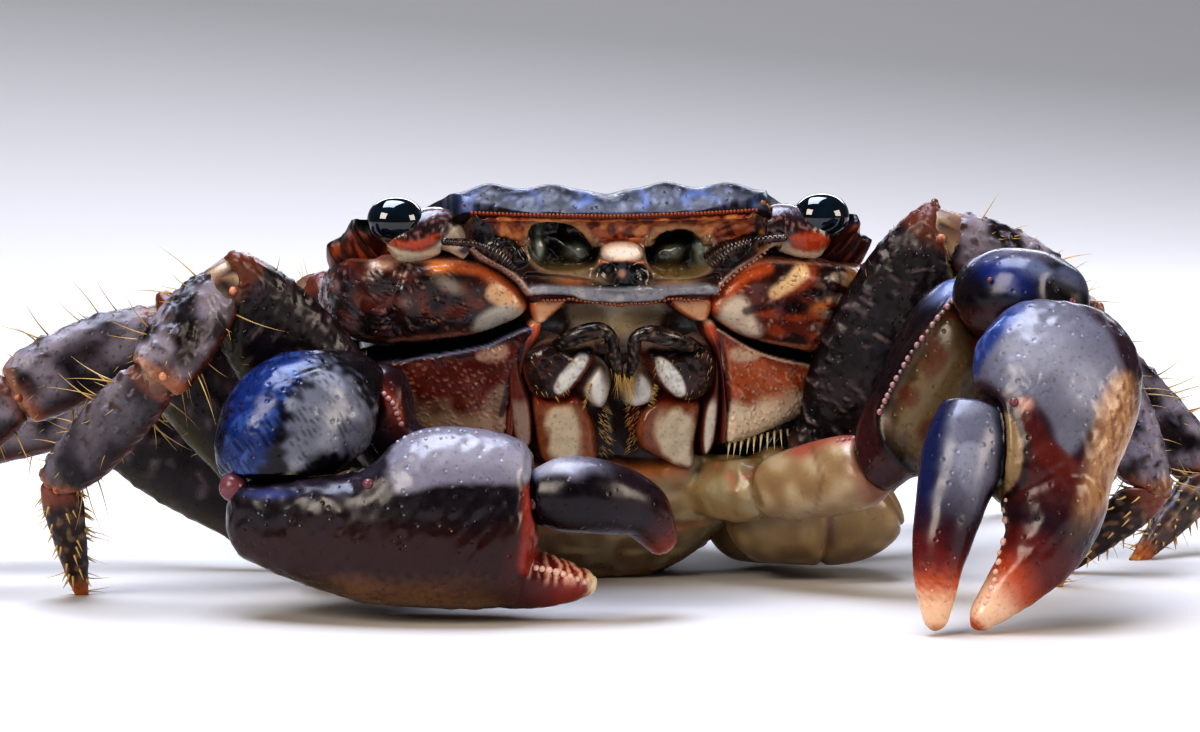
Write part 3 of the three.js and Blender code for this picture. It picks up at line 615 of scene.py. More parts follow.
class Plate:
    """A patch of the hull's sheet inside an outline, raised into a plate with a rounded edge."""

    def __init__(self, name, outline, thick, edge, sink=0.0, relief=None):
        inside = depth_inside(outline, hull_u, hull_v)
        rows = np.flatnonzero((inside > -EDGE_OVERLAP).any(1))
        spans = np.flatnonzero((inside > -EDGE_OVERLAP).any(0))
        part = np.s_[rows[0] : rows[-1] + 1, spans[0] : spans[-1] + 1]
        kept = inside[part] > -EDGE_OVERLAP
        number = np.full(kept.shape, -1)
        number[kept] = np.arange(kept.sum())
        quads = np.stack([number[:-1, :-1], number[1:, :-1], number[1:, 1:], number[:-1, 1:]], -1).reshape(-1, 4)
        quads = quads[(quads >= 0).all(1)]
        self.inside, self.u, self.v = inside[part][kept], hull_u[part][kept], hull_v[part][kept]
        self.at, self.out = hull[part][kept], hull_normal[part][kept]
        round_edge = np.sqrt(1 - (1 - np.clip(self.inside / edge, 0, 1)) ** 2)
        lift = thick * round_edge - sink + np.minimum(self.inside, 0) * EDGE_SLOPE
        if relief is not None:
            lift = lift + relief(self)
        self.piece = new_piece(name, from_body(self.at + self.out * lift[:, None]), quads.tolist())

    def mask(self, outline, soft=0.15):
        return ramp(depth_inside(outline, self.u, self.v), -soft, soft)

    def near_line(self, line, width, soft=0.5):
        return ramp(distance_to_line(line, self.u, self.v), width * (0.5 + soft * 0.5), width * (0.5 - soft * 0.5))

    def spot(self, *oval):
        return spot(self.u, self.v, *oval)

    def mottle(self, size, seed):
        return mottle(self.at, size, seed)

    def close(self, material, slot, *replaced):
        """Gives the plate its thickness and puts it on the model."""
        select_only(self.piece)
        wall = self.piece.modifiers.new("Solidify", "SOLIDIFY")
        wall.thickness, wall.offset = PLATE_WALL * MM, -1
        bpy.ops.object.modifier_apply(modifier=wall.name)
        finish_piece(self.piece, material, slot, *replaced)


def course(line, shares):
    """Points at shares of the way along a smooth curve through a line of points, and the direction there."""
    line = np.array(line, float)
    ends = np.vstack([2 * line[0] - line[1], line, 2 * line[-1] - line[-2]])
    place = np.clip(np.asarray(shares, float), 0, 1) * (len(line) - 1)
    i = np.minimum(place.astype(int), len(line) - 2)
    u = (place - i)[:, None]
    a, b, c, d = ends[i], ends[i + 1], ends[i + 2], ends[i + 3]
    ab, bc, cd = (np.sqrt(np.linalg.norm(q - p, axis=1, keepdims=True)) for p, q in ((a, b), (b, c), (c, d)))
    leaving = ((b - a) / ab - (c - a) / (ab + bc) + (c - b) / bc) * bc
    arriving = ((c - b) / bc - (d - b) / (bc + cd) + (d - c) / cd) * bc
    squares, cubes = u * u, u * u * u
    at = (2 * cubes - 3 * squares + 1) * b + (cubes - 2 * squares + u) * leaving
    at = at + (3 * squares - 2 * cubes) * c + (cubes - squares) * arriving
    way = (6 * squares - 6 * u) * (b - c) + (3 * squares - 4 * u + 1) * leaving + (3 * squares - 2 * u) * arriving
    return at, way / np.linalg.norm(way, axis=1, keepdims=True)


def square_to(way, facing):
    """The part of a direction that stands square to each way, of length 1."""
    across = np.array(facing, float) - way * (way @ np.array(facing, float))[:, None]
    return across / np.linalg.norm(across, axis=1, keepdims=True)


def hand_rings(line, shares, above, below, half, face_out, sides, squareness):
    """Rounded sections along a curve: above and below are towards and away from the moving finger."""
    centres, along = course(line, shares)
    across = square_to(along, face_out)
    up = np.cross(across, along) * np.sign(along[:, :1])
    turns = 2 * math.pi * (np.arange(sides) + 0.5) / sides
    high = np.sign(np.cos(turns)) * np.abs(np.cos(turns)) ** squareness
    wide = np.sign(np.sin(turns)) * np.abs(np.sin(turns)) ** squareness
    height = np.where(high > 0, above[:, None], below[:, None]) * high
    return centres[:, None] + up[:, None] * height[..., None] + across[:, None] * (half[:, None] * wide)[..., None]


def round_ends(shares, sizes, reach):
    """Extra close-set sections that round off both ends of a tube."""
    swell = np.sqrt(np.clip(1 - (1 - np.clip(np.minimum(shares, 1 - shares) / reach, 0, 1)) ** 2, 0.02, 1))
    return [size * swell for size in sizes]


def along_line(points, line):
    """Share of the way along a curve at each point, and the offset of the point from the curve."""
    shares = np.linspace(0, 1, 81)
    centres, way = course(line, shares)
    nearest = np.argmin(((points[:, None] - centres[None]) ** 2).sum(-1), axis=1)
    return shares[nearest], points - centres[nearest], way[nearest]


def normals_of(mesh):
    flat = np.empty(len(mesh.vertices) * 3, np.float32)
    mesh.vertex_normals.foreach_get("vector", flat)
    return flat.reshape(-1, 3).astype(float)


core_rows = np.arange(len(shelf), len(levels), 6)
core = skin_over("body_core", from_body((hull - CORE_DEPTH * hull_normal)[core_rows]))
paint(core, "#0b0708", ("#1c0e0c", ramp(mottle(points_of(core.data) / MM, 1.5, 31), 0, 1)))
wet_skin = shell_finish(
    "dark_wet_skin", 0.3, fleck="#0a0808", flecks=0.3, fleck_size=0.4, pit_size=0.5, pit_depth=0.04, wet=0.25
)
finish_piece(core, wet_skin, "membrane")

# ---- Cheeks and flanks ----
# The cheek plates lie under the eyes, marbled dark brown, orange and cream and set with fine scaly ridges.
# A deep wet groove parts them from the granular red-brown flank plates, which fade to cream at the foot.
plate_shell = shell_finish(
    "wet_chitin_plates", 0.26, fleck="#1c0d0a", flecks=0.5, fleck_size=0.3, pit_size=0.45, pit_depth=0.05, wet=0.35
)

CHEEK_LEFT_OF_CHART = [
    (298, 262), (332, 262), (365, 263), (400, 264), (440, 263), (475, 266), (500, 277), (516, 291), (525, 304),
    (519, 311), (503, 319), (478, 329), (440, 334), (400, 338), (372, 338), (350, 333), (330, 334), (298, 334)
]
CHEEK_RIGHT_OF_CHART = [
    (912, 262), (880, 264), (848, 269), (800, 265), (762, 264), (742, 270), (724, 284), (711, 300), (709, 309),
    (724, 321), (742, 332), (770, 339), (803, 346), (832, 350), (856, 345), (880, 346), (912, 346)
]


def scaly(plate, seed, turn):
    """Fine short ridges that run across a plate."""
    angle = math.radians(turn)
    across = (plate.v * math.cos(angle) - plate.u * math.sin(angle)) * CHART_STEP
    wave = np.sin(2 * math.pi * (across / 0.42 + 0.9 * mottle(plate.at, 1.6, seed)))
    return np.maximum(wave, 0) ** 3 * ramp(mottle(plate.at, 0.9, seed + 1), -0.35, 0.5)


cheek = Plate(
    "cheek_right_shell", CHEEK_LEFT_OF_CHART, 0.95, 1.0,
    relief=lambda p: 0.09 * scaly(p, 110, 24) * ramp(p.u, 480, 440)
    - 0.25 * p.near_line([(400, 268), (392, 300), (400, 330)], 0.9) + 0.05 * p.mottle(1.5, 101)
)
scale = scaly(cheek, 110, 24)
dark = cheek.mottle(1.3, 103)
paint(
    cheek.piece,
    "#3c1a14",
    ("#170c0e", 0.9 * ramp(dark, 0.0, 0.6)),
    ("#66301e", 0.75 * ramp(-dark, 0.1, 0.8)),
    ("#5c4a56", 0.5 * scale * ramp(cheek.u, 430, 390)),
    ("#b98a70", 0.45 * scale * ramp(cheek.mottle(0.35, 104), 0.35, 0.8)),
    ("#a85c30", 0.85 * cheek.near_line([(448, 266), (478, 270), (500, 281), (514, 296), (520, 306)], 0.8)),
    ("#d9b48c", 0.8 * cheek.near_line([(490, 290), (508, 302), (512, 309)], 0.9)),
    (
        "#a9a49c",
        0.95 * cheek.mask(
            [(468, 326), (474, 312), (492, 301), (512, 301), (519, 308), (504, 317), (484, 326)], 0.25
        )
    ),
    ("#d98a44", 0.9 * cheek.spot((438, 268), (11, 6))),
    ("#c9a88a", 0.85 * cheek.spot((384, 267), (9, 4))),
    ("#8f8378", 0.8 * cheek.spot((448, 283), (14, 6), 25)),
    ("#8a7c74", 0.6 * cheek.spot((408, 298), (5, 5))),
    ("#9c6a58", 0.8 * cheek.near_line([(392, 335), (430, 331), (470, 328)], 0.35)),
    ("#c98f7a", 0.6 * ramp(cheek.inside, 0.22, 0.05) * ramp(cheek.v, 275, 262)),
)
cheek.close(plate_shell, "shell_cheek", "cheek_right")
cheek = Plate(
    "cheek_left_shell", CHEEK_RIGHT_OF_CHART, 0.95, 1.0,
    relief=lambda p: 0.09 * scaly(p, 120, -24) * ramp(p.u, 740, 790)
    - 0.22 * p.near_line([(835, 275), (828, 310), (812, 340)], 0.8) + 0.05 * p.mottle(1.5, 111)
)
scale = scaly(cheek, 120, -24)
dark = mottle(cheek.at * (0.6, 1, 1.3), 1.2, 113)
paint(
    cheek.piece,
    "#602616",
    ("#1a0c0e", 0.9 * ramp(dark, 0.0, 0.6) * ramp(cheek.u, 745, 775)),
    ("#a4502a", 0.65 * ramp(-dark, 0.15, 0.8)),
    ("#c9b4a4", 0.5 * scale * ramp(cheek.mottle(0.5, 114), 0.1, 0.7)),
    ("#dcc8ae", 0.9 * ramp(cheek.u, 800, 845) * ramp(mottle(cheek.at * (0.5, 0.5, 1.5), 0.9, 115), 0.0, 0.5)),
    ("#b85a28", 0.85 * cheek.near_line([(764, 268), (744, 273), (727, 287), (715, 301)], 0.8)),
    (
        "#cdbda8",
        0.95 * cheek.mask(
            [(716, 312), (722, 298), (738, 290), (746, 300), (752, 318), (760, 331), (742, 329), (726, 319)], 0.3
        )
    ),
    ("#e0bf92", 0.95 * cheek.near_line([(797, 272), (786, 280), (770, 289)], 0.75)),
    ("#2a1418", 0.8 * cheek.near_line([(742, 306), (770, 300), (800, 290), (828, 288)], 0.5)),
    ("#c98242", 0.7 * cheek.spot((812, 302), (9, 5), -25)),
    ("#d49a58", 0.7 * cheek.near_line([(846, 272), (838, 280)], 0.6)),
    ("#b5805c", 0.8 * cheek.near_line([(760, 335), (800, 341), (835, 345)], 0.3)),
    ("#d7a08a", 0.6 * ramp(cheek.inside, 0.22, 0.05) * ramp(cheek.v, 280, 266)),
)
cheek.close(plate_shell, "shell_cheek", "cheek_left")

FLANK_LEFT_OF_CHART = [
    (180, 352), (300, 358), (366, 360), (392, 359), (432, 353), (480, 345), (505, 335), (529, 322), (534, 328),
    (523, 352), (514, 380), (508, 410), (506, 436), (470, 450), (400, 450), (300, 440), (180, 430)
]
FLANK_RIGHT_OF_CHART = [
    (1040, 362), (930, 366), (857, 367), (830, 367), (800, 361), (765, 353), (740, 341), (712, 322), (709, 328),
    (718, 350), (722, 385), (724, 418), (722, 444), (742, 441), (776, 426), (802, 412), (832, 404), (850, 412),
    (930, 420), (1040, 425)
]


def granular(plate, seed):
    """Fine pearly grains, strongest under the upper edge of a flank plate."""
    return ramp(mottle(plate.at, 0.3, seed), 0.55, 0.9)


flank = Plate(
    "flank_right_shell", FLANK_LEFT_OF_CHART, 0.7, 0.7,
    relief=lambda p: 0.07 * granular(p, 130) + 0.12 * p.mottle(2.5, 131)
    + 0.18 * ramp(p.inside, 0.5, 0.15) * ramp(p.v, 372, 350)
)
grains = granular(flank, 130)
paint(
    flank.piece,
    "#5c2014",
    ("#2c1016", 0.85 * ramp(flank.inside, 0.9, 0.2) * ramp(flank.v, 375, 352)),
    ("#6e3020", 0.6 * ramp(flank.mottle(1.2, 132), 0, 0.8)),
    ("#a8907c", 0.9 * ramp(flank.v + 0.15 * (480 - flank.u) + 7 * flank.mottle(1.5, 133), 398, 422)),
    ("#a88a78", 0.9 * flank.mask([(474, 350), (492, 344), (508, 342), (506, 354), (490, 360), (476, 358)], 0.2)),
    ("#8c7a6c", 0.8 * flank.mask([(478, 408), (488, 388), (506, 378), (505, 400), (496, 410)], 0.3)),
    ("#c79a86", 0.3 * grains * ramp(flank.v, 350, 365)),
    ("#2c1216", 0.9 * flank.near_line([(531, 328), (517, 352), (506, 385), (500, 412)], 0.35)),
    # A painted blue-white highlight along the plate's upper rim.
    ("#9aa6c8", 0.7 * ramp(flank.inside, 0.2, 0.1) * ramp(flank.v, 366, 352)),
    ("#070506", ramp(flank.inside, 0.1, 0.0)),
)
flank.close(plate_shell, "shell_flank", "flank_right")
flank = Plate(
    "flank_left_shell", FLANK_RIGHT_OF_CHART, 0.7, 0.7,
    relief=lambda p: 0.07 * granular(p, 140) + 0.12 * p.mottle(2.5, 141)
    + 0.18 * ramp(p.inside, 0.5, 0.15) * ramp(p.v, 380, 360)
)
grains = granular(flank, 140)
fade = flank.v + 0.12 * (flank.u - 780) + 6 * flank.mottle(1.5, 143)
paint(
    flank.piece,
    "#a65a36",
    ("#6c2a1a", 0.8 * ramp(flank.inside, 0.9, 0.2) * ramp(flank.v, 385, 355)),
    ("#bc6c40", 0.6 * ramp(flank.mottle(1.2, 142), 0, 0.8)),
    ("#dac8ae", 0.97 * ramp(fade, 384, 406)),
    ("#c2a68c", 0.95 * flank.mask([(727, 348), (736, 344), (756, 350), (757, 357), (742, 360), (728, 358)], 0.2)),
    ("#d8bda4", 0.35 * grains * ramp(flank.v, 352, 368)),
    ("#5a2018", 0.95 * flank.near_line([(716, 330), (721, 360), (725, 395), (724, 408)], 0.55)),
    # A painted pale highlight along the plate's upper rim.
    ("#e8cdb8", 0.85 * ramp(flank.inside, 0.2, 0.1) * ramp(flank.v, 375, 362)),
    ("#070506", ramp(flank.inside, 0.1, 0.0)),
)
flank.close(plate_shell, "shell_flank", "flank_left")

# ---- Face ----
# The plate between the eyes: an orange strip under the front margin, two dark sockets with the folded inner
# feelers, a white block between them, the black knob under it, and a grey bar with a beaded edge below.
SOCKET_LEFT_OF_CHART = [
    (525, 228), (545, 221), (575, 225), (597, 237), (599, 255), (590, 267), (565, 271), (541, 269), (526, 255)
]
SOCKET_RIGHT_OF_CHART = [
    (641, 240), (655, 229), (685, 226), (705, 233), (712, 248), (708, 267), (690, 277), (662, 277), (645, 266)
]
FEELER_BASE_LEFT_OF_CHART = [
    (470, 226), (482, 219), (500, 230), (521, 247), (528, 263), (515, 269), (497, 259), (478, 245)
]
FEELER_BASE_RIGHT_OF_CHART = [(760, 226), (746, 229), (723, 244), (711, 262), (722, 271), (742, 262), (758, 245)]
RIDGE_LEFT_OF_CHART = [(462, 240), (480, 257), (500, 267), (518, 280), (527, 292)]
RIDGE_RIGHT_OF_CHART = [(769, 240), (757, 256), (736, 269), (720, 282), (712, 292)]
KNOB = [(586, 286), (591, 268), (604, 260), (631, 260), (645, 268), (652, 286)]
BLOCK = [(600, 242), (637, 242), (640, 261), (598, 261)]
BAR = [
    (526, 282), (560, 283), (617, 285), (665, 282), (714, 281), (716, 291), (690, 291), (665, 292), (658, 297),
    (617, 299), (577, 297), (570, 292), (545, 291), (526, 292)
]
FACE_OUTLINE = [
    (494, 205), (520, 198), (617, 192), (715, 198), (742, 205), (754, 219), (770, 228), (772, 242), (752, 260),
    (735, 272), (719, 286), (709, 300), (692, 302), (617, 303), (545, 303), (530, 304), (522, 294), (513, 282),
    (498, 272), (476, 262), (463, 250), (464, 230), (480, 218)
]


def face_relief(p):
    hollow = ramp(depth_inside(SOCKET_LEFT_OF_CHART, p.u, p.v), -0.08, 0.4) + ramp(
        depth_inside(SOCKET_RIGHT_OF_CHART, p.u, p.v), -0.08, 0.4
    )
    feelers = (
        1.25 * p.spot((578, 252), (17, 13), 15) + 1.1 * p.spot((538, 247), (10, 17), 0)
        + 0.8 * p.spot((558, 241), (12, 7), 30)
        + 1.25 * p.spot((668, 254), (18, 12), -15) + 1.1 * p.spot((703, 250), (9, 17), 0)
        + 0.8 * p.spot((684, 243), (12, 8), -30)
    )
    bases = ramp(depth_inside(FEELER_BASE_LEFT_OF_CHART, p.u, p.v), -0.1, 0.35) + ramp(
        depth_inside(FEELER_BASE_RIGHT_OF_CHART, p.u, p.v), -0.1, 0.35
    )
    ridges = p.near_line(RIDGE_LEFT_OF_CHART, 0.35) + p.near_line(RIDGE_RIGHT_OF_CHART, 0.35)
    lumpy = ramp(mottle(p.at, 1.1, 201), -0.3, 0.8)
    return (
        -0.92 * ramp(p.v, 236, 223) * ramp(p.inside, -0.35, 0.1) - 1.75 * hollow
        + (0.9 * feelers + 0.12 * lumpy) * hollow
        + bases * (0.1 + 0.3 * lumpy) - 0.25 * (1 - bases) * p.spot((500, 248), (40, 30))
        - 0.25 * (1 - bases) * p.spot((738, 248), (40, 30))
        + 0.55 * p.mask(BLOCK, 0.25) + 0.45 * p.mask(KNOB, 0.3) * (0.8 + 0.35 * lumpy) + 0.5 * p.mask(BAR, 0.16)
        + 0.3 * ridges + 0.03 * p.mottle(0.5, 202)
        - 0.3 * p.near_line([(526, 276), (560, 278), (590, 282)], 0.4)
        - 0.3 * p.near_line([(652, 282), (690, 281), (714, 276)], 0.4)
    )


face = Plate("face_shell", FACE_OUTLINE, 1.0, 0.45, relief=face_relief)
hollow = face.mask(SOCKET_LEFT_OF_CHART, 0.12) + face.mask(SOCKET_RIGHT_OF_CHART, 0.12)
around = np.maximum(
    depth_inside(SOCKET_LEFT_OF_CHART, face.u, face.v), depth_inside(SOCKET_RIGHT_OF_CHART, face.u, face.v)
)
patchy = face.mottle(0.9, 203)
paint(
    face.piece,
    "#35201a",
    ("#98522e", ramp(face.v, 246, 238) * ramp(face.u, 478, 488) * ramp(face.u, 758, 748)),
    ("#4e1a10", 0.85 * ramp(patchy + 0.4 * face.mottle(0.4, 204), 0.1, 0.6) * ramp(face.v, 248, 240)),
    ("#cf965c", 0.6 * ramp(-patchy, 0.3, 0.9) * ramp(face.v, 244, 234)),
    ("#8a7258", 0.85 * ramp(around, -0.45, -0.1)),
    ("#b07a4c", 0.7 * ramp(around, -0.45, -0.15) * ramp(face.v, 236, 226)),
    ("#14100e", hollow),
    # Painted glints: the dark folded inner feelers are painted pale grey so that they show in the sockets.
    ("#98a094", 0.9 * hollow * (face.spot((537, 247), (8, 15)) + face.spot((703, 250), (8, 15)))),
    ("#6e746c", 0.85 * hollow * (face.spot((576, 250), (11, 9)) + face.spot((670, 252), (12, 8)))),
    ("#3c3428", 0.6 * hollow * ramp(patchy, 0.0, 0.8)),
    ("#a08a5c", 0.8 * hollow * ramp(face.v, 260, 272)),
    ("#16100f", face.mask(FEELER_BASE_LEFT_OF_CHART, 0.1) + face.mask(FEELER_BASE_RIGHT_OF_CHART, 0.1)),
    ("#b59c92", 0.85 * face.near_line(RIDGE_LEFT_OF_CHART, 0.4)),
    ("#c2a296", 0.85 * face.near_line(RIDGE_RIGHT_OF_CHART, 0.4)),
    ("#b47848", 0.8 * face.spot((760, 246), (8, 7))),
    ("#6f2418", 0.85 * face.near_line([(592, 240), (617, 236), (645, 240)], 0.5) * ramp(patchy, -0.6, 0.3)),
    ("#f0e8dc", face.mask(BLOCK, 0.12)),
    ("#c49a80", 0.6 * face.mask(BLOCK, 0.12) * ramp(depth_inside(BLOCK, face.u, face.v), 0.45, 0.1)),
    ("#c07a50", 0.8 * face.near_line([(598, 261), (640, 261)], 0.25)),
    ("#0e0b0c", face.mask(KNOB, 0.1)),
    ("#b98f7c", 0.95 * face.spot((618, 272), (4, 4))),
    ("#9b8468", 0.8 * (face.spot((575, 277), (26, 6)) + face.spot((672, 281), (26, 5)))),
    ("#b26a3a", 0.7 * (face.spot((572, 280), (18, 3)) + face.spot((672, 284), (18, 3)))),
    ("#85878f", 0.95 * face.mask(BAR, 0.1)),
    ("#aaa6a4", 0.6 * face.mask(BAR, 0.1) * ramp(patchy, 0, 0.8)),
    (
        "#5a2014",
        0.95 * face.near_line(
            [
                (526, 294), (545, 293), (570, 294), (577, 299), (617, 301), (658, 299), (665, 294), (690, 293),
                (716, 294)
            ],
            0.35
        )
    ),
)
face_shell = shell_finish(
    "wet_chitin_face", 0.2, fleck="#1c0d0a", flecks=0.35, fleck_size=0.3, pit_size=0.5, pit_depth=0.04, wet=0.5
)
face.close(face_shell, "shell_face", "face")


def on_hull(u, v, out):
    """The point in mm, in the model's place, that stands out from the hull at a place on the chart."""
    row, column = np.unravel_index(np.argmin((hull_u - u) ** 2 + (hull_v - v) ** 2), hull_u.shape)
    return from_body(hull[row, column] + hull_normal[row, column] * out) / MM


def beaded(name, line, gap, size, out, colour):
    """A row of beads along a line on the front chart, gap and size in mm."""
    line = np.array(line, float)
    steps = np.concatenate([[0], np.cumsum(np.linalg.norm(np.diff(line, axis=0), axis=1))])
    at = np.arange(0, steps[-1], gap / CHART_STEP)
    places = np.stack([np.interp(at, steps, line[:, i]) for i in (0, 1)], -1)
    beads(name, [(on_hull(u, v, out), size) for u, v in places], colour, face_shell, "shell_face")


beaded(
    "bar_beads", [(540, 296), (570, 295), (590, 298), (617, 300), (645, 298), (664, 295), (696, 295)], 0.27, 0.13,
    1.3, "#8c5030"
)
beaded(
    "face_ridge_beads_right", [(464, 241), (480, 257), (500, 267), (516, 279), (526, 291)], 0.3, 0.12, 1.15,
    "#8f6a5a"
)
beaded(
    "face_ridge_beads_left", [(768, 241), (757, 256), (736, 269), (721, 281), (713, 291)], 0.3, 0.12, 1.15,
    "#94705e"
)

PALATE_OUTLINE = [
    (524, 294), (560, 290), (617, 292), (675, 290), (714, 294), (708, 320), (698, 352), (617, 360), (540, 352),
    (530, 324)
]
palate = Plate(
    "palate", PALATE_OUTLINE, 0.1, 0.5, sink=0.75,
    relief=lambda p: 0.25 * p.spot((617, 322), (22, 30)) - 0.3 * p.spot((549, 326), (15, 12))
    - 0.3 * p.spot((688, 326), (15, 12))
)
paint(
    palate.piece,
    "#4a2c20",
    (
        "#a9977c",
        0.95 * palate.mask(
            [(566, 302), (617, 304), (668, 302), (662, 330), (640, 350), (617, 354), (594, 350), (572, 330)], 0.3
        )
    ),
    ("#c3b28c", 0.8 * palate.spot((619, 322), (12, 18))),
    ("#b56a44", 0.9 * ramp(palate.v, 310, 301)),
    ("#4f5b60", 0.85 * (palate.spot((549, 326), (13, 10)) + palate.spot((688, 326), (13, 10)))),
    ("#3a1c14", 0.8 * ramp(palate.v, 330, 350)),
)
palate.close(face_shell, "shell_face")

MOUTH_CORNERS = {
    "right": (
        [(526, 302), (534, 294), (552, 292), (573, 294), (562, 304), (549, 316), (540, 323), (531, 321)], (539, 318)
    ),
    "left": (
        [(712, 302), (708, 294), (690, 291), (664, 293), (669, 305), (680, 313), (692, 320), (706, 320)], (700, 318)
    ),
}
for side_name, (outline, tip) in MOUTH_CORNERS.items():
    corner = Plate(f"mouth_corner_{side_name}", outline, 1.0, 0.35)
    paint(
        corner.piece,
        "#a8683e",
        ("#cfa880", 0.6 * ramp(corner.inside, 0.2, 0.6)),
        ("#6e2416", 0.95 * ramp(corner.inside, 0.14, 0.04)),
        ("#dcb69a", 0.9 * corner.spot(tip, (6, 5))),
    )
    corner.close(face_shell, "shell_face")

MOUTH_SIDES = {
    "right": [
        (527, 318), (541, 316), (541, 330), (530, 352), (520, 380), (516, 410), (514, 440), (503, 440), (505, 405),
        (512, 370), (520, 340)
    ],
    "left": [
        (714, 317), (700, 314), (702, 330), (713, 352), (719, 380), (720, 410), (718, 446), (727, 440), (727, 405),
        (724, 370), (721, 340)
    ],
}
for side_name, outline in MOUTH_SIDES.items():
    rail = Plate(f"mouth_side_{side_name}", outline, 0.75, 0.4)
    paint(
        rail.piece,
        "#5a2016",
        ("#c9603a", 0.9 * ramp(rail.v, 345, 325)),
        ("#e0b896", 0.9 * ramp(rail.v, 326, 317)),
        ("#2a1010", 0.8 * ramp(rail.inside, 0.1, 0.0)),
        ("#8a4a34", 0.6 * ramp(rail.v, 380, 430)),
    )
    rail.close(face_shell, "shell_face")

# ---- Mouthparts (third maxillipeds) ----
# A pair of two-part leaves that close the mouth: dark brown upper leaves with a white patch and a red-brown
# rim, off-white lower leaves edged in orange-brown, white inner lobes, and arched black palps with a brush.
UPPER_LEAVES = {
    "right": (
        [
            (519, 362), (522, 348), (543, 337), (561, 340), (574, 347), (584, 342), (595, 344), (596, 353),
            (589, 367), (574, 386), (561, 397), (550, 399), (532, 396), (523, 378)
        ],
        [(576, 349), (586, 350), (583, 361), (569, 380), (558, 390), (551, 387), (550, 379), (561, 363)]
    ),
    "left": (
        [
            (712, 350), (715, 364), (712, 383), (700, 398), (680, 399), (667, 393), (653, 377), (641, 359),
            (640, 348), (650, 343), (662, 348), (684, 342), (704, 337)
        ],
        [(651, 352), (662, 353), (677, 369), (683, 386), (677, 395), (665, 386), (654, 369)]
    ),
}
LOWER_LEAVES = {
    "right": (
        [
            (529, 393), (545, 397), (561, 399), (573, 391), (583, 401), (592, 419), (597, 436), (597, 466),
            (570, 470), (540, 462), (534, 430)
        ],
        [(545, 405), (572, 402), (577, 428), (577, 460), (550, 456), (543, 428)]
    ),
    "left": (
        [
            (659, 395), (680, 401), (700, 396), (698, 420), (693, 440), (695, 466), (681, 468), (653, 454),
            (634, 443), (635, 416), (647, 402)
        ],
        [(658, 406), (692, 408), (689, 440), (692, 462), (680, 463), (660, 452), (652, 430)]
    ),
}
INNER_LOBES = {
    "right": [(598, 361), (607, 371), (610, 386), (606, 402), (598, 409), (585, 399), (579, 386), (588, 370)],
    "left": [(637, 365), (650, 376), (656, 392), (650, 402), (630, 408), (626, 395), (627, 378)],
}
OUTER_RODS = {
    "right": [(506, 352), (519, 350), (522, 376), (530, 398), (533, 430), (530, 448), (512, 446), (506, 400)],
    "left": [(713, 348), (718, 362), (719, 400), (715, 440), (706, 456), (697, 450), (700, 404), (712, 384)],
}
mouth_shell = shell_finish(
    "wet_chitin_mouthparts", 0.26, fleck="#1c0d0a", flecks=0.35, fleck_size=0.25, pit_size=0.4, pit_depth=0.04,
    wet=0.4
)
SIDES = {"right": -1, "left": 1}
LEAF_SEEDS, PALP_SEEDS = {"right": 230, "left": 231}, {"right": 250, "left": 251}
mouth_hairs = []
bpy.ops.mesh.primitive_cone_add(
    vertices=4, radius1=1, radius2=0.12, depth=1, location=(0, 0, 0.5), end_fill_type="NGON"
)
bpy.ops.object.mode_set(mode="EDIT")
for height in (0.2, 0.4, 0.6, 0.8):
    bpy.ops.mesh.select_all(action="SELECT")
    bpy.ops.mesh.bisect(plane_co=(0, 0, height), plane_no=(0, 0, 1))
bpy.ops.object.mode_set(mode="OBJECT")
hair = bpy.context.object
hair.data.transform(hair.matrix_world)
hair_template = template_of(hair)
TIP_CLEARANCE = 0.1  # mm above the ground
SAG = 0.16  # sideways bow of a bristle as a share of its length


def bristles(name, roots, thickness):
    """Bent tapering bristles from (root, direction, length, turn) rows in mm."""
    points, placed = hair_template[0], []
    for root, lean, size, turn in roots:
        lean = np.array(lean) / np.linalg.norm(lean)
        if root[2] + lean[2] * size < TIP_CLEARANCE:
            lean[2] = max(TIP_CLEARANCE - root[2], 0.05 * size) / size
        side = np.cross(lean, (math.cos(turn), math.sin(turn), 0.3))
        side /= np.linalg.norm(side)
        width = thickness * (0.6 + 0.25 * size) if size > 1 else thickness
        basis = np.stack([side * width, np.cross(lean, side) * width, lean * size], 1)
        bowed = points @ basis.T + root + np.outer(points[:, 2] ** 2, side) * SAG * size
        placed.append(bowed * MM)
    return copies(name, hair_template, placed)


straw_bristle = bpy.data.materials.new("straw_bristle")
straw_bristle.use_nodes = True
straw = straw_bristle.node_tree.nodes["Principled BSDF"]
straw.inputs["Base Color"].default_value = (*srgb("#c4a566"), 1)
straw.inputs["Roughness"].default_value = 0.4


def hair_on_hull(u, v, out, toward, size, rng):
    start, end = on_hull(u, v, out), on_hull(u + toward[0], v + toward[1], out + 0.5)
    mouth_hairs.append(
        (
            start, end - start + rng.normal(size=3) * 0.12 * np.linalg.norm(end - start), size,
            rng.uniform(0, 2 * math.pi)
        )
    )


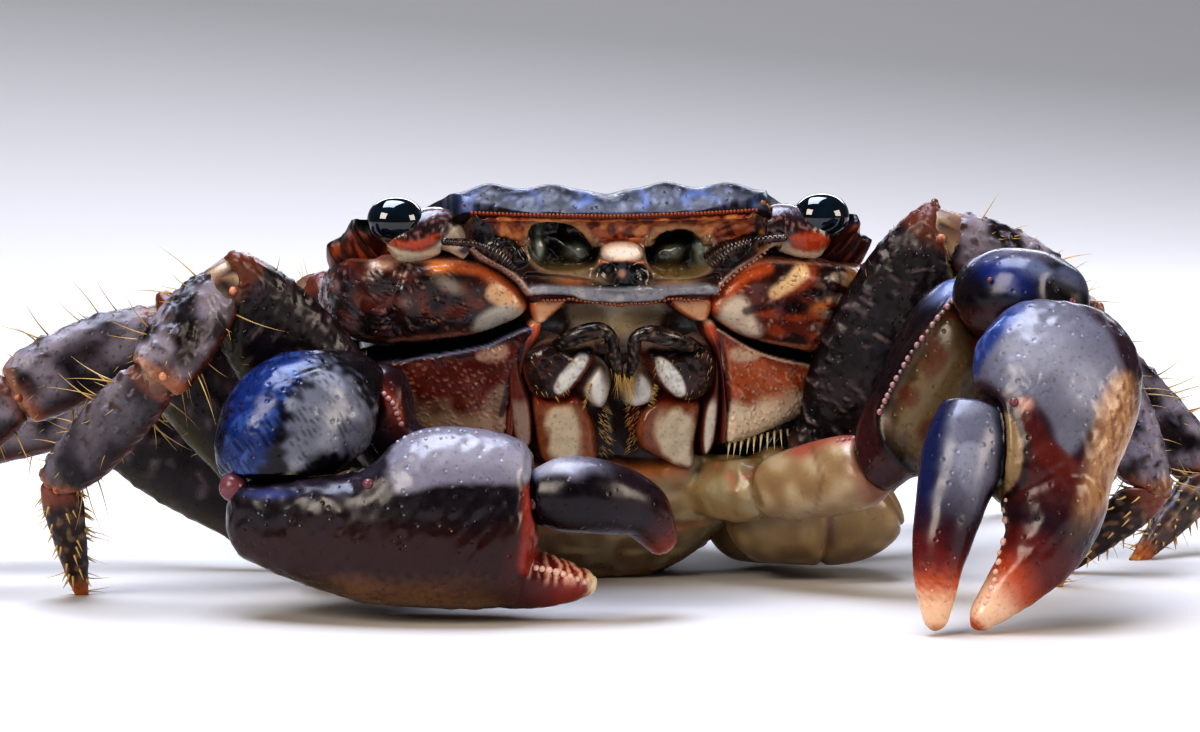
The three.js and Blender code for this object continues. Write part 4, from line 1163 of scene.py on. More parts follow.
for side_name, side in SIDES.items():
    rod = Plate(f"mouth_rod_{side_name}", OUTER_RODS[side_name], 0.85, 0.45)
    pale = ramp(rod.inside, 0.16, 0.34) * ramp(rod.v, 392, 405)
    paint(
        rod.piece, "#6e3324", ("#3c1a16", 0.8 * ramp(rod.v, 375, 350)),
        ("#d5cdbf", 0.95 * pale * (1 if side_name == "left" else 0.35))
    )
    rod.close(mouth_shell, "mouthpart")
    outline, white = LOWER_LEAVES[side_name]
    leaf = Plate(
        f"mouth_leaf_lower_{side_name}", outline, 0.95, 0.5,
        relief=lambda p: 0.12 * p.mask(white, 0.3) + 0.04 * p.mottle(0.9, 221)
    )
    paint(
        leaf.piece,
        "#8e5636",
        ("#73402c", 0.6 * ramp(leaf.mottle(0.8, 222), 0, 0.8)),
        ("#cdbfa6", 0.95 * ramp(depth_inside(white, leaf.u, leaf.v) + 0.12 * leaf.mottle(0.9, 229), -0.3, 0.3)),
        ("#5f2618", 0.9 * ramp(leaf.inside, 0.16, 0.03)),
        ("#8a3c28", 0.9 * ramp(leaf.v, 404, 398) * ramp(leaf.inside, 0.5, 0.2)),
    )
    leaf.close(mouth_shell, "mouthpart")
    lobe = Plate(f"mouth_lobe_{side_name}", INNER_LOBES[side_name], 1.0, 0.75)
    paint(
        lobe.piece, "#e2e0dc", ("#cbb59a", 0.8 * ramp(lobe.inside, 0.4, 0.1)),
        ("#b9b7b8", 0.5 * ramp(lobe.mottle(0.9, 223), 0.1, 0.9))
    )
    lobe.close(mouth_shell, "mouthpart")
    outline, white = UPPER_LEAVES[side_name]
    leaf = Plate(
        f"mouth_leaf_upper_{side_name}", outline, 1.45, 0.9,
        relief=lambda p: -0.12 * p.mask(white, 0.2) + 0.06 * p.mottle(0.8, 224)
        + 0.05 * ramp(mottle(p.at, 0.4, 225), 0.3, 0.9)
    )
    inner_edge = leaf.near_line(
        [(595, 350), (574, 386), (556, 398)] if side_name == "right" else [(641, 352), (654, 377), (672, 397)], 0.7
    )
    paint(
        leaf.piece,
        "#2a1716",
        ("#4a2a22", 0.8 * ramp(leaf.mottle(0.9, 226), 0, 0.8)),
        ("#7a3222", 0.85 * inner_edge),
        ("#8a5236", 0.8 * ramp(leaf.inside, 0.3, 0.08) * ramp(leaf.v, 352, 375)),
        ("#dfe0dc", leaf.mask(white, 0.12)),
        ("#a8a49c", 0.5 * leaf.mask(white, 0.12) * ramp(leaf.mottle(0.35, 227), 0.2, 0.8)),
        ("#a58f86", 0.7 * ramp(leaf.inside, 0.14, 0.04) * ramp(leaf.v, 352, 344)),
    )
    leaf.close(mouth_shell, "mouthpart", f"mouth_{side_name}")
    rng = np.random.default_rng(LEAF_SEEDS[side_name])
    for _ in range(60):
        pick = rng.integers(len(leaf.u))
        if leaf.inside[pick] > 0.25:
            hair_on_hull(leaf.u[pick], leaf.v[pick], 1.35, (-5 * side, 9), rng.uniform(0.25, 0.5), rng)
    for _ in range(34):
        along = rng.uniform(0, 1)
        edge = np.array([(606, 380), (598, 405)] if side_name == "right" else [(652, 380), (646, 402)])
        place = edge[0] + (edge[1] - edge[0]) * along
        hair_on_hull(
            place[0] - (16 if side_name == "right" else 0), place[1], 0.9, (7 * side, 3), rng.uniform(0.3, 0.6), rng
        )

PALPS = {
    "right": [
        (552, 343, 1.0), (562, 336, 1.5), (577, 327, 1.9), (596, 322, 2.0), (605, 328, 1.9), (608, 342, 1.8),
        (612, 356, 1.7), (616, 366, 1.5), (619, 376, 1.2)
    ],
    "left": [
        (694, 343, 1.0), (682, 338, 1.5), (664, 331, 1.9), (642, 326, 2.0), (631, 330, 1.9), (629, 343, 1.8),
        (628, 357, 1.7), (626, 367, 1.5), (624, 377, 1.2)
    ],
}
PALP_RADII = [
    (0, 0.34), (0.12, 0.54), (0.32, 0.58), (0.44, 0.44), (0.5, 0.42), (0.56, 0.46), (0.75, 0.38), (0.9, 0.24),
    (1, 0.1)
]
for side_name, line in PALPS.items():
    shares = np.linspace(0, 1, 56)
    radius = profile(PALP_RADII, shares)
    path = [on_hull(*place) for place in line]
    palp = skin_over(
        f"mouth_palp_{side_name}", hand_rings(path, shares, radius, radius, radius * 0.9, (0, -1, 0), 20, 1.0) * MM
    )
    points = points_of(palp.data) / MM
    s, _, _ = along_line(points, path)
    paint(
        palp,
        "#17110f",
        ("#4c3228", 0.7 * ramp(mottle(points, 0.7, 240), 0.1, 0.8)),
        ("#8c7a6c", 0.6 * ramp(mottle(points, 0.3, 241), 0.45, 0.8)),
        ("#7a4a2c", 0.6 * ramp(s, 0.9, 1.0)),
    )
    finish_piece(palp, mouth_shell, "mouthpart")
    rng = np.random.default_rng(PALP_SEEDS[side_name])
    for _ in range(26):
        start = np.array(line[-2][:2]) + rng.normal(size=2) * (2.5, 3)
        hair_on_hull(start[0], start[1], 1.3, (rng.uniform(-3, 3), 14), rng.uniform(0.8, 2.2), rng)
rng = np.random.default_rng(260)
for _ in range(90):
    side = rng.choice((-1, 1))
    u, v = 618 + side * rng.uniform(10, 22), rng.uniform(402, 452)
    hair_on_hull(u, v, 0.25, (-side * 9, rng.uniform(4, 9)), rng.uniform(0.35, 0.7), rng)

FRINGES = [
    # start and end on the front chart, hair direction there, count, longest in mm
    ((722, 440), (776, 425), (3, 12), 34, 0.8),
    ((800, 420), (850, 410), (5, 16), 70, 1.2),
    ((505, 436), (470, 448), (-3, 12), 40, 1.0),
]
for start, end, toward, count, longest in FRINGES:
    for _ in range(count):
        place = np.array(start) + (np.array(end) - start) * rng.uniform(0, 1)
        hair_on_hull(place[0], place[1], 0.1, toward, rng.uniform(0.6, 1) * longest, rng)
hairs = bristles("mouth_hairs", mouth_hairs, 0.036)
finish_piece(hairs, straw_bristle, "bristle")
comb = []
for share in np.linspace(0, 1, 17):
    u, v = 728 + 100 * share, 441 - 27 * share
    start, end = on_hull(u, v, 0.35), on_hull(u - 5, v + 14, 1.0)
    comb.append((start, end - start, 1.0 + 0.35 * math.sin(2.2 * share + 0.5), 0.0))
comb = bristles("gill_comb", comb, 0.13)
paint(comb, "#d8cda6")
finish_piece(comb, mouth_shell, "bristle")

# ---- Eyes and stalks ----
# Each cornea is a glossy black bean of fine facets at the outer end of a short thick stalk. The stalk is
# speckled dark brown above, orange-red in a crescent under the cornea, and cream below.
EYE_CENTRE, EYE_AXES = (14.1, 2.4, 1.0), (1.86, 1.6, 1.5)
STALK_LINE = [(9.3, 3.2, -0.9), (11.0, 2.9, 0.55), (12.9, 3.0, 0.15), (14.7, 3.2, -0.35)]
STALK_RADII = [(0, 0.6), (0.15, 0.95), (0.3, 1.4), (0.55, 1.6), (0.8, 1.5), (0.93, 1.15), (1, 0.3)]
cornea_glass = bpy.data.materials.new("glossy_cornea")
cornea_glass.use_nodes = True
cornea_tree = cornea_glass.node_tree
cornea_surface = cornea_tree.nodes["Principled BSDF"]
cornea_place = add(cornea_tree, "ShaderNodeTexCoord").outputs["Object"]
facets = add(
    cornea_tree, "ShaderNodeTexVoronoi", {"Vector": cornea_place, "Scale": 1 / (0.12 * MM)}
).outputs["Distance"]
cornea_cloud = add(
    cornea_tree, "ShaderNodeTexNoise", {"Vector": cornea_place, "Scale": 1 / (1.6 * MM), "Detail": 2.0}
).outputs["Fac"]
cornea_tone = add(cornea_tree, "ShaderNodeValToRGB", {"Fac": cornea_cloud})
cornea_tone.color_ramp.elements[0].position, cornea_tone.color_ramp.elements[0].color = 0.35, (*srgb("#04080a"), 1)
cornea_tone.color_ramp.elements[1].position, cornea_tone.color_ramp.elements[1].color = 0.7, (*srgb("#0d2230"), 1)
cornea_bump = add(
    cornea_tree, "ShaderNodeBump", {"Strength": 0.08, "Distance": 0.01 * MM, "Height": facets}
).outputs["Normal"]
cornea_tree.links.new(cornea_tone.outputs["Color"], cornea_surface.inputs["Base Color"])
cornea_tree.links.new(cornea_bump, cornea_surface.inputs["Normal"])
cornea_surface.inputs["Roughness"].default_value = 0.06
cornea_surface.inputs["IOR"].default_value = 1.5
cornea_surface.inputs["Coat Weight"].default_value = 1.0
cornea_surface.inputs["Coat Roughness"].default_value = 0.02
stalk_shell = shell_finish(
    "wet_chitin_eyestalks", 0.24, fleck="#1a0c0a", flecks=0.3, fleck_size=0.25, pit_size=0.35, pit_depth=0.04,
    wet=0.7
)

CRESCENTS = {
    "right": (
        [
            (378, 236), (390, 239), (412, 242), (430, 236), (440, 232), (436, 245), (420, 252), (400, 249),
            (384, 243)
        ],
        [
            (381, 240), (400, 250), (420, 253), (438, 245), (452, 228), (466, 222), (470, 240), (455, 254),
            (430, 262), (400, 260)
        ]
    ),
    "left": (
        [
            (788, 238), (800, 232), (815, 232), (832, 236), (846, 240), (840, 245), (824, 249), (806, 253),
            (792, 248)
        ],
        [(772, 246), (790, 250), (806, 254), (824, 250), (840, 245), (846, 242), (838, 258), (810, 266), (784, 266)]
    ),
}
for side_name, side in SIDES.items():
    bpy.ops.mesh.primitive_uv_sphere_add(segments=64, ring_count=40, radius=1)
    cornea = bpy.context.object
    cornea.name = f"cornea_{side_name}"
    ball = points_of(cornea.data)
    squared = np.sign(ball) * np.abs(ball) ** 0.92
    put_points(cornea.data, from_body(squared * EYE_AXES + np.array(EYE_CENTRE) * (side, 1, 1)))
    bpy.ops.object.shade_smooth()
    finish_piece(cornea, cornea_glass, "eye", f"eye_{side_name}")
    shares = np.concatenate([np.linspace(0, 0.9, 50), np.linspace(0.91, 1, 14)])
    radius = profile(STALK_RADII, shares)
    line = np.array(STALK_LINE) * (side, 1, 1)
    stalk = skin_over(
        f"eyestalk_{side_name}_shell",
        from_body(hand_rings(line, shares, radius * 0.98, radius * 1.05, radius, (0, -1, 0), 56, 1.0))
    )
    points = points_of(stalk.data)
    normals = normals_of(stalk.data)
    u, v = chart(points).T
    grain = mottle(points / MM, 0.35, 301)
    points += normals * (0.03 * ramp(grain, 0.2, 0.8))[:, None] * MM
    put_points(stalk.data, points)
    crescent, cream = CRESCENTS[side_name]
    below = ramp(-normals[:, 2], 0.25, 0.75)
    paint(
        stalk,
        "#2c1a1c",
        # A painted lavender sheen on the stalk's upward faces.
        ("#4f4a58", 0.8 * ramp(normals[:, 2], 0.4, 0.9)),
        ("#8c6a62", 0.8 * ramp(grain, 0.35, 0.8)),
        ("#cdbfa8", np.maximum(ramp(depth_inside(cream, u, v), -0.15, 0.15), below)),
        ("#a4400f", ramp(depth_inside(crescent, u, v) + 0.08 * grain, -0.15, 0.15)),
    )
    finish_piece(stalk, stalk_shell, "eyestalk", f"eyestalk_{side_name}")

# ---- Outer feelers ----
# Short dark whips of many rings that lie along the orange strip beside the eyes.
FEELER_LINE = [(6.4, 3.3, -1.9), (7.6, 2.5, -1.3), (9.3, 2.0, -0.9), (11.4, 1.2, -1.1)]
FEELER_RADII = [(0, 0.75), (0.25, 0.8), (0.5, 0.5), (0.75, 0.3), (1, 0.26)]
for side_name, side in SIDES.items():
    shares = np.linspace(0, 1, 120)
    radius = profile(FEELER_RADII, shares) * (0.94 + 0.06 * np.sin(shares * 2 * math.pi * 22))
    (radius,) = round_ends(shares, [radius], 0.03)
    whip = skin_over(
        f"feeler_{side_name}",
        from_body(
            hand_rings(np.array(FEELER_LINE) * (side, 1, 1), shares, radius, radius, radius, (0, 0, 1), 20, 1.0)
        )
    )
    points = points_of(whip.data) / MM
    paint(whip, "#241614", ("#6a4638", 0.6 * ramp(mottle(points, 0.5, 310), 0.1, 0.8)))
    finish_piece(whip, stalk_shell, "eyestalk", f"antenna_{side_name}")

# ---- Breastplate, limb roots and tail plate ----
# The pale floor of the body: cream segments with thin seams, the short rounded limb roots beside it, and
# the narrow tail plate folded forward under it, on which the crab sits.
MERGE_WITHIN = 2e-6  # metres
pale_shell = shell_finish(
    "pale_chitin_belly", 0.34, fleck="#8a5a40", flecks=0.22, fleck_size=0.6, pit_size=0.9, pit_depth=0.03, wet=0.4
)


def ease(piece, voxel, iterations):
    """Remeshes a piece finely and smooths it, so that its corners are eased."""
    remesh = piece.modifiers.new("Remesh", "REMESH")
    remesh.mode, remesh.voxel_size = "VOXEL", voxel * MM
    bpy.ops.object.modifier_apply(modifier=remesh.name)
    easing = piece.modifiers.new("Smooth", "SMOOTH")
    easing.factor, easing.iterations = 0.5, iterations
    bpy.ops.object.modifier_apply(modifier=easing.name)
    bpy.ops.object.shade_smooth()


def to_body(points):
    """Points in mm in the model's place as points in the body's own frame."""
    return (points * MM - BODY_ARRAY[:3, 3]) @ BODY_ARRAY[:3, :3] / MM**2


def eased_copy(node, name, voxel, iterations):
    """A copy of a CAD solid with its corners eased: merged, remeshed finely and smoothed."""
    piece = bpy.data.objects.new(name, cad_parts[node].data.copy())
    scene.collection.objects.link(piece)
    piece.data.materials.clear()
    select_only(piece)
    bpy.ops.object.mode_set(mode="EDIT")
    bpy.ops.mesh.select_all(action="SELECT")
    bpy.ops.mesh.remove_doubles(threshold=MERGE_WITHIN)
    bpy.ops.object.mode_set(mode="OBJECT")
    ease(piece, voxel, iterations)
    return piece


breast = eased_copy("sternum", "breastplate_shell", 0.22, 8)
points, normals = points_of(breast.data) / MM, normals_of(breast.data)
in_body = to_body(points)
u, v = chart(points * MM).T
front = ramp(-normals[:, 1], 0.3, 0.8)
across_body, up_body = np.abs(in_body[:, 0]), in_body[:, 2]
in_mouth = front * ramp(5.9 - across_body, 0, 0.5) * ramp(up_body, -12.6, -12.0) * ramp(-4.6 - up_body, -1.2, -0.8)
seams = np.zeros(len(points))
for root in (-9.6, -7.4, -3.6, 0.6, 5.0):
    seams = np.maximum(seams, np.exp(-(((points[:, 1] - root - 0.25 * np.abs(points[:, 0]) * 0.2) / 0.14) ** 2)))
seams *= ramp(points[:, 2], 7, 4) * ramp(np.abs(points[:, 0]), 16, 12)
blush = mottle(points, 2.2, 320)
rosy = ramp(mottle(points, 0.9, 322), 0.35, 0.8) * ramp(np.linalg.norm(points[:, :2] * (1, 0.8), axis=1), 10, 14)
lift = -0.75 * in_mouth - 0.12 * seams + 0.05 * mottle(points, 1.2, 321)
paint(
    breast,
    "#947e58",
    ("#7c5c3c", 0.6 * ramp(blush, -0.2, 1.0)),
    # Painted shade: darker towards the ground.
    ("#5a4630", 0.75 * ramp(points[:, 2] + 0.5 * blush, 5.5, 1.5)),
    ("#a8a488", 0.4 * ramp(-blush, -0.1, 1.2)),
    ("#a06a48", 0.8 * seams),
    ("#b5703f", 0.85 * front * ramp(v, 486, 468) * ramp(5.9 - across_body, 0, 0.4)),
    ("#b9a884", 0.6 * ramp(mottle(points * (0.5, 1, 1.6), 1.6, 323), 0.0, 1.0) * front * ramp(v, 470, 500)),
    ("#28140e", in_mouth),
    ("#c2604a", 0.5 * rosy * ramp(normals[:, 2], -0.1, 0.6)),
)
points += normals * lift[:, None]
points[:, 2] = np.maximum(points[:, 2], 0)
put_points(breast.data, points * MM)
finish_piece(breast, pale_shell, "shell_belly", "sternum")

LIMB_ROOTS = [
    (
        [(8.5, -9.0, 3.6), (13.0, -10.0, 4.6), (17.0, -10.0, 4.9), (19.2, -9.6, 6.4)],
        [(0, 2.4), (0.35, 3.6), (0.75, 3.4), (1, 2.2)]
    ),
    (
        [(8.0, -5.0, 3.0), (13.0, -5.8, 3.4), (17.0, -5.4, 4.2), (19.0, -5.2, 5.0)],
        [(0, 2.0), (0.35, 2.8), (0.75, 2.6), (1, 1.8)]
    ),
]


def root_seams(shares):
    """1 in the two seams round a limb root."""
    return np.exp(-(((shares - 0.46) / 0.02) ** 2)) + np.exp(-(((shares - 0.84) / 0.02) ** 2))


shares = np.linspace(0, 1, 72)
for side_name, side in SIDES.items():
    for number, (line, radii) in enumerate(LIMB_ROOTS):
        line = np.array(line) * (side, 1, 1)
        (radius,) = round_ends(shares, [profile(radii, shares) - 0.3 * root_seams(shares)], 0.14)
        rings = hand_rings(line, shares, radius, radius, radius * 0.85, (0, -1, 0), 48, 0.9)
        rings[..., 2] = np.maximum(rings[..., 2], 0.3)
        root = skin_over(f"limb_root_{side_name}_{number + 2}", rings * MM)
        points = points_of(root.data) / MM
        s, _, _ = along_line(points, line)
        blush = mottle(points, 1.8, 340 + number)
        paint(
            root,
            "#8c7652",
            ("#a8926c", 0.7 * ramp(blush, -0.4, 1.2)),
            ("#6e4c34", 0.7 * root_seams(s)),
            # Painted shade: darker towards the ground.
            ("#4a3624", 0.8 * ramp(points[:, 2] + 0.4 * blush, 4.4, 0.8)),
            ("#8c5640", 0.5 * ramp(s, 0.86, 1.0)),
        )
        finish_piece(root, pale_shell, "shell_belly")

tail = eased_copy("abdomen", "tail_plate_shell", 0.14, 8)
points, normals = points_of(tail.data) / MM, normals_of(tail.data)
in_body = to_body(points)
way = in_body[:, 1] - in_body[:, 2] * 0.6
joints_seen = np.zeros(len(points))
for place in (24.5, 27.6, 30.4, 32.6, 34.2):
    joints_seen = np.maximum(joints_seen, np.exp(-(((way - place) / 0.16) ** 2)))
paint(
    tail,
    "#cdb894",
    ("#a87850", 0.8 * joints_seen),
    ("#b78f68", 0.6 * ramp(mottle(points, 1.8, 330), 0, 0.8)),
    ("#8a6a58", 0.5 * ramp(np.abs(points[:, 0]), 3.2, 5.2)),
)
points -= normals * (0.12 * joints_seen * ramp(points[:, 2], 0.05, 0.3))[:, None]
points[:, 2] = np.maximum(points[:, 2], 0)
put_points(tail.data, points * MM)
finish_piece(tail, pale_shell, "shell_belly", "abdomen")

# ---- Claw arms ----
# Two arms of three plates each, from the chest to the wrist. The plates are smooth and glossy, nearly black
# with a blue sheen painted on top, and the upper arm has a beaded edge and a pale inner face.
CLAW_JOINTS = {
    "right": np.array([(-9.0, -13.0, 6.1), (-12.2, -16.3, 6.9), (-16.6, -18.0, 13.6), (-25.4, -20.8, 8.4)]),
    "left": np.array([(10.4, -13.4, 6.5), (16.0, -19.8, 8.4), (21.8, -22.6, 19.0), (26.2, -28.6, 20.2)]),
}
CLAW_PARTS = ["ischium", "merus", "carpus"]
WRIST_FOOT = 474  # lower edge of the right wrist on the front chart
ARM_TURN = 402  # where the right upper arm turns away behind the mouth
CLAW_END_WIDTH = {"right": [1.4, 1.8, 1.9], "left": [1.5, 2.0, 2.2]}


def rounded_copy(node, name, levels):
    """A copy of a CAD solid, rounded by subdivision so that it still passes through the solid's corners."""
    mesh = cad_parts[node].data.copy()
    piece = bpy.data.objects.new(name, mesh)
    scene.collection.objects.link(piece)
    mesh.materials.clear()
    select_only(piece)
    bpy.ops.mesh.customdata_custom_splitnormals_clear()
    bpy.ops.object.mode_set(mode="EDIT")
    bpy.ops.mesh.select_all(action="SELECT")
    bpy.ops.mesh.remove_doubles(threshold=MERGE_WITHIN)
    bpy.ops.mesh.tris_convert_to_quads(face_threshold=math.radians(50), shape_threshold=math.radians(70))
    bpy.ops.object.mode_set(mode="OBJECT")
    bpy.ops.object.shade_smooth()
    rounding = piece.modifiers.new("Subdivision", "SUBSURF")
    rounding.levels = rounding.render_levels = levels
    corners = points_of(mesh)
    cage = corners.copy()
    for _ in range(3):
        smooth = points_of(piece.evaluated_get(bpy.context.evaluated_depsgraph_get()).data)[: len(corners)]
        cage += 0.85 * (corners - smooth)
        put_points(mesh, cage)
        bpy.context.view_layer.update()
    bpy.ops.object.modifier_apply(modifier=rounding.name)
    return piece


def limb_axes(start, end, facing):
    """Along, across and up for a length of limb, all of length 1."""
    along = (end - start) / np.linalg.norm(end - start)
    across = facing - along * (facing @ along)
    across = across / np.linalg.norm(across)
    return along, across, np.cross(across, along)


def sleeves(name, joints):
    """Short soft tubes that close the gaps at joints, from (joint, axis before, axis after, across, half width)."""
    tubes = []
    for joint, before, after, across, half in joints:
        before, after = before / np.linalg.norm(before), after / np.linalg.norm(after)
        rings = []
        for share, swell in ((-1.5, 0.7), (-0.7, 0.95), (0, 1.0), (0.7, 0.95), (1.5, 0.7)):
            axis = before if share < 0 else after
            centre = joint + axis * share
            tangent = (before * (1 - share) + after * (1 + share)) / 2
            side = across - tangent * (across @ tangent) / (tangent @ tangent)
            side /= np.linalg.norm(side)
            up = np.cross(side, tangent / np.linalg.norm(tangent))
            turns = np.linspace(0, 2 * math.pi, 24, endpoint=False)
            rings.append(
                centre + half * swell * (np.outer(np.cos(turns), up) * 1.05 + np.outer(np.sin(turns), side) * 0.8)
            )
        tubes.append(skin_over(name, np.array(rings) * MM))
    select_only(*tubes)
    bpy.ops.object.join()
    made = bpy.context.object
    made.name = name
    points = points_of(made.data) / MM
    paint(
        made, "#6b4a3c", ("#a08a6a", ramp(mottle(points, 1.0, 21), 0, 0.8)),
        ("#2a1814", ramp(mottle(points, 0.6, 22), 0.3, 0.8))
    )
    return made


claw_shell = shell_finish(
    "wet_chitin_claws", 0.26, fleck="#0e0a10", flecks=0.3, fleck_size=0.3, pit_size=0.75, pit_depth=0.09, wet=0.15,
    uneven=0.14, gloss=1.46
)
joint_skin = shell_finish(
    "soft_joint_skin", 0.45, fleck="#3a2018", flecks=0.4, fleck_size=0.3, pit_size=0.4, pit_depth=0.03, wet=0.4
)

claw_skins = []
for side_name in SIDES:
    joints = CLAW_JOINTS[side_name]
    facing = np.cross(joints[3] - joints[2], joints[2] - joints[1])
    facing /= np.linalg.norm(facing)
    for i, part in enumerate(CLAW_PARTS):
        node = f"claw_{side_name}_{part}"
        piece = rounded_copy(node, node + "_shell", 4)
        points, normals = points_of(piece.data) / MM, normals_of(piece.data)
        axis, across, _ = limb_axes(joints[i], joints[i + 1], facing)
        t = (points - joints[i]) @ axis / np.linalg.norm(joints[i + 1] - joints[i])
        fine = mottle(points, 0.8, 60 + i)
        u, v = chart(points * MM).T
        coarse = mottle(points, 2.2, 64 + i)
        lift = 0 * t
        if part == "ischium":
            lobe = distance_to_line(
                [(800, 447), (820, 432), (850, 433), (880, 426), (905, 432)], u, v
            ) if side_name == "left" else 9 + 0 * t
            paint(
                piece,
                "#98805c",
                ("#7c5e44", 0.5 * ramp(coarse, -0.3, 1.2)),
                ("#bfae90", 0.6 * ramp(-coarse, -0.3, 1.2)),
                # Painted shade on the downward faces.
                ("#8f7458", 0.5 * ramp(-normals[:, 2], 0.1, 0.9)),
                ("#9c4a40", 0.85 * ramp(lobe, 1.3, 0.2)),
                (
                    "#6a4c34",
                    0.6 * ramp(
                        np.minimum(
                            distance_to_line([(757, 448), (752, 475), (762, 505)], u, v),
                            distance_to_line([(812, 446), (822, 478), (816, 508)], u, v)
                        ),
                        0.3, 0.0
                    )
                ),
                ("#7c4030", 0.6 * ramp(t, 0.9, 1.0)),
            )
            material = pale_shell
        elif part == "merus" and side_name == "left":
            crest = [(968, 262), (962, 290), (938, 318), (912, 352), (893, 385), (880, 412)]
            inner = depth_inside(crest + [(885, 450), (925, 480), (965, 440), (985, 380), (985, 290)], u, v)
            outer = ramp(-inner, 0, 0.4)
            paint(
                piece,
                "#171219",
                # Painted sheen: a blue patch and a pale blue-lavender highlight at the top of the crest.
                ("#2a4080", 0.85 * spot(u, v, (956, 275), (22, 26), 60)),
                ("#8f9cc0", 0.5 * spot(u, v, (950, 290), (8, 24), 60)),
                ("#4e3c28", 0.95 * ramp(inner + 0.25 * coarse, 0.0, 0.5)),
                ("#7e6a48", 0.7 * ramp(inner + 0.3 * fine, 0.7, 1.5) * ramp(v, 330, 380)),
                ("#5c2a18", 0.7 * ramp(inner, 0.2, 0.5) * ramp(coarse, 0.1, 0.8)),
                ("#4a1f1c", 0.6 * outer * ramp(v, 380, 440)),
            )
            lift = 0.35 * np.exp(-((inner / 0.4) ** 2))
            material = claw_shell
        elif part == "merus":
            edge = [(316, 352), (345, 366), (372, 386), (392, 404), (400, 420)]
            lobe = distance_to_line(edge, u, v)
            paint(
                piece,
                "#4a1a16",
                ("#1c1018", 0.9 * ramp(lobe, 0.5, 1.6)),
                ("#8c3a28", 0.8 * ramp(lobe, 0.7, 0.1)),
                ("#2c2434", 0.8 * ramp(u, 405, 420)),
            )
            points[:, 0] -= 0.6 * CHART_STEP * np.maximum(u - ARM_TURN, 0) * ramp(v, 440, 420)
            lift = 0.2 * np.exp(-((lobe / 0.5) ** 2))
            material = claw_shell
        elif side_name == "right":
            # The wrist's pattern is drawn on a chart of its own, which is stretched over the plate.
            uc, vc = 215 + (u - 218) * 0.946, 335 + (v - 350) * 0.824
            lines = np.sin(
                2 * math.pi * ((vc * 0.55 - uc * 0.83) * CHART_STEP / 0.34 + 0.7 * mottle(points, 2.6, 70))
            )
            striae = ramp(lines, 0.55, 0.95) * ramp(mottle(points, 1.3, 71), -0.6, 0.3)
            blue = ramp(
                depth_inside(
                    [
                        (218, 442), (220, 400), (230, 368), (250, 346), (288, 332), (312, 340), (290, 358),
                        (272, 388), (262, 418), (246, 445)
                    ],
                    uc, vc
                ) + 0.2 * fine,
                -0.5, 0.5
            )
            grey = ramp(
                depth_inside(
                    [
                        (284, 368), (316, 346), (345, 356), (366, 392), (374, 436), (362, 446), (335, 420),
                        (305, 424), (288, 440), (276, 428)
                    ],
                    uc, vc
                ) + 0.3 * fine + 0.2 * coarse,
                -0.35, 0.5
            )
            paint(
                piece,
                "#120d16",
                # Painted sheen: the blue area on the left and top and the grey area in the middle stand for
                # reflections, with lighter flecks as highlights.
                ("#15316c", 0.88 * blue),
                ("#6c8fd0", 0.2 * blue * ramp(mottle(points, 1.0, 72), 0.2, 0.8)),
                ("#767a88", 0.85 * grey),
                ("#a8abb6", 0.4 * grey * ramp(coarse, 0.1, 0.8)),
                ("#0d0a12", 0.85 * striae * (1 - 0.35 * grey)),
                (
                    "#0d0a10",
                    0.9 * ramp(
                        depth_inside(
                            [(292, 452), (300, 428), (322, 424), (336, 436), (345, 420), (352, 440), (345, 455)],
                            uc, vc
                        ) + 0.2 * fine,
                        -0.05, 0.15
                    )
                ),
                ("#c8baa0", 0.95 * spot(uc, vc, (284, 440), (6, 4))),
                ("#6b3a2c", 0.6 * ramp(uc, 366, 380)),
            )
            lift = -0.05 * striae + 0.05 * coarse
            # The lower edge is drawn up to a straight line.
            low = np.maximum(v - WRIST_FOOT, 0) * ramp(-normals[:, 1], -0.6, 0.0)
            points[:, 2] += 0.8 * CHART_STEP * low
            material = claw_shell
        else:
            paint(
                piece,
                "#161017",
                # Painted sheen: a blue patch and a grey-lavender highlight on top.
                ("#1d3070", 0.85 * spot(u, v, (1005, 275), (34, 17), 30)),
                ("#747c98", 0.7 * spot(u, v, (1050, 272), (42, 12), 18) * ramp(coarse, -1.2, 0.4)),
                ("#8c4a34", 0.8 * ramp(u, 1086, 1100)),
                ("#4a1f1c", 0.7 * ramp(-normals[:, 2], 0.0, 0.6)),
                # A painted grey sheen on the upward faces.
                ("#5c5666", 0.5 * ramp(normals[:, 2], 0.5, 0.95)),
            )
            lift = 0.05 * coarse
            material = claw_shell
        put_points(piece.data, (points + normals * lift[:, None]) * MM)
        finish_piece(piece, material, "shell_belly" if part == "ischium" else "claw_shell", node)
        if i < 2:
            claw_skins.append(
                (joints[i + 1], axis, joints[i + 2] - joints[i + 1], across, CLAW_END_WIDTH[side_name][i] * 0.95)
            )

arm_membranes = sleeves("claw_joint_skins", claw_skins)
finish_piece(arm_membranes, joint_skin, "membrane")
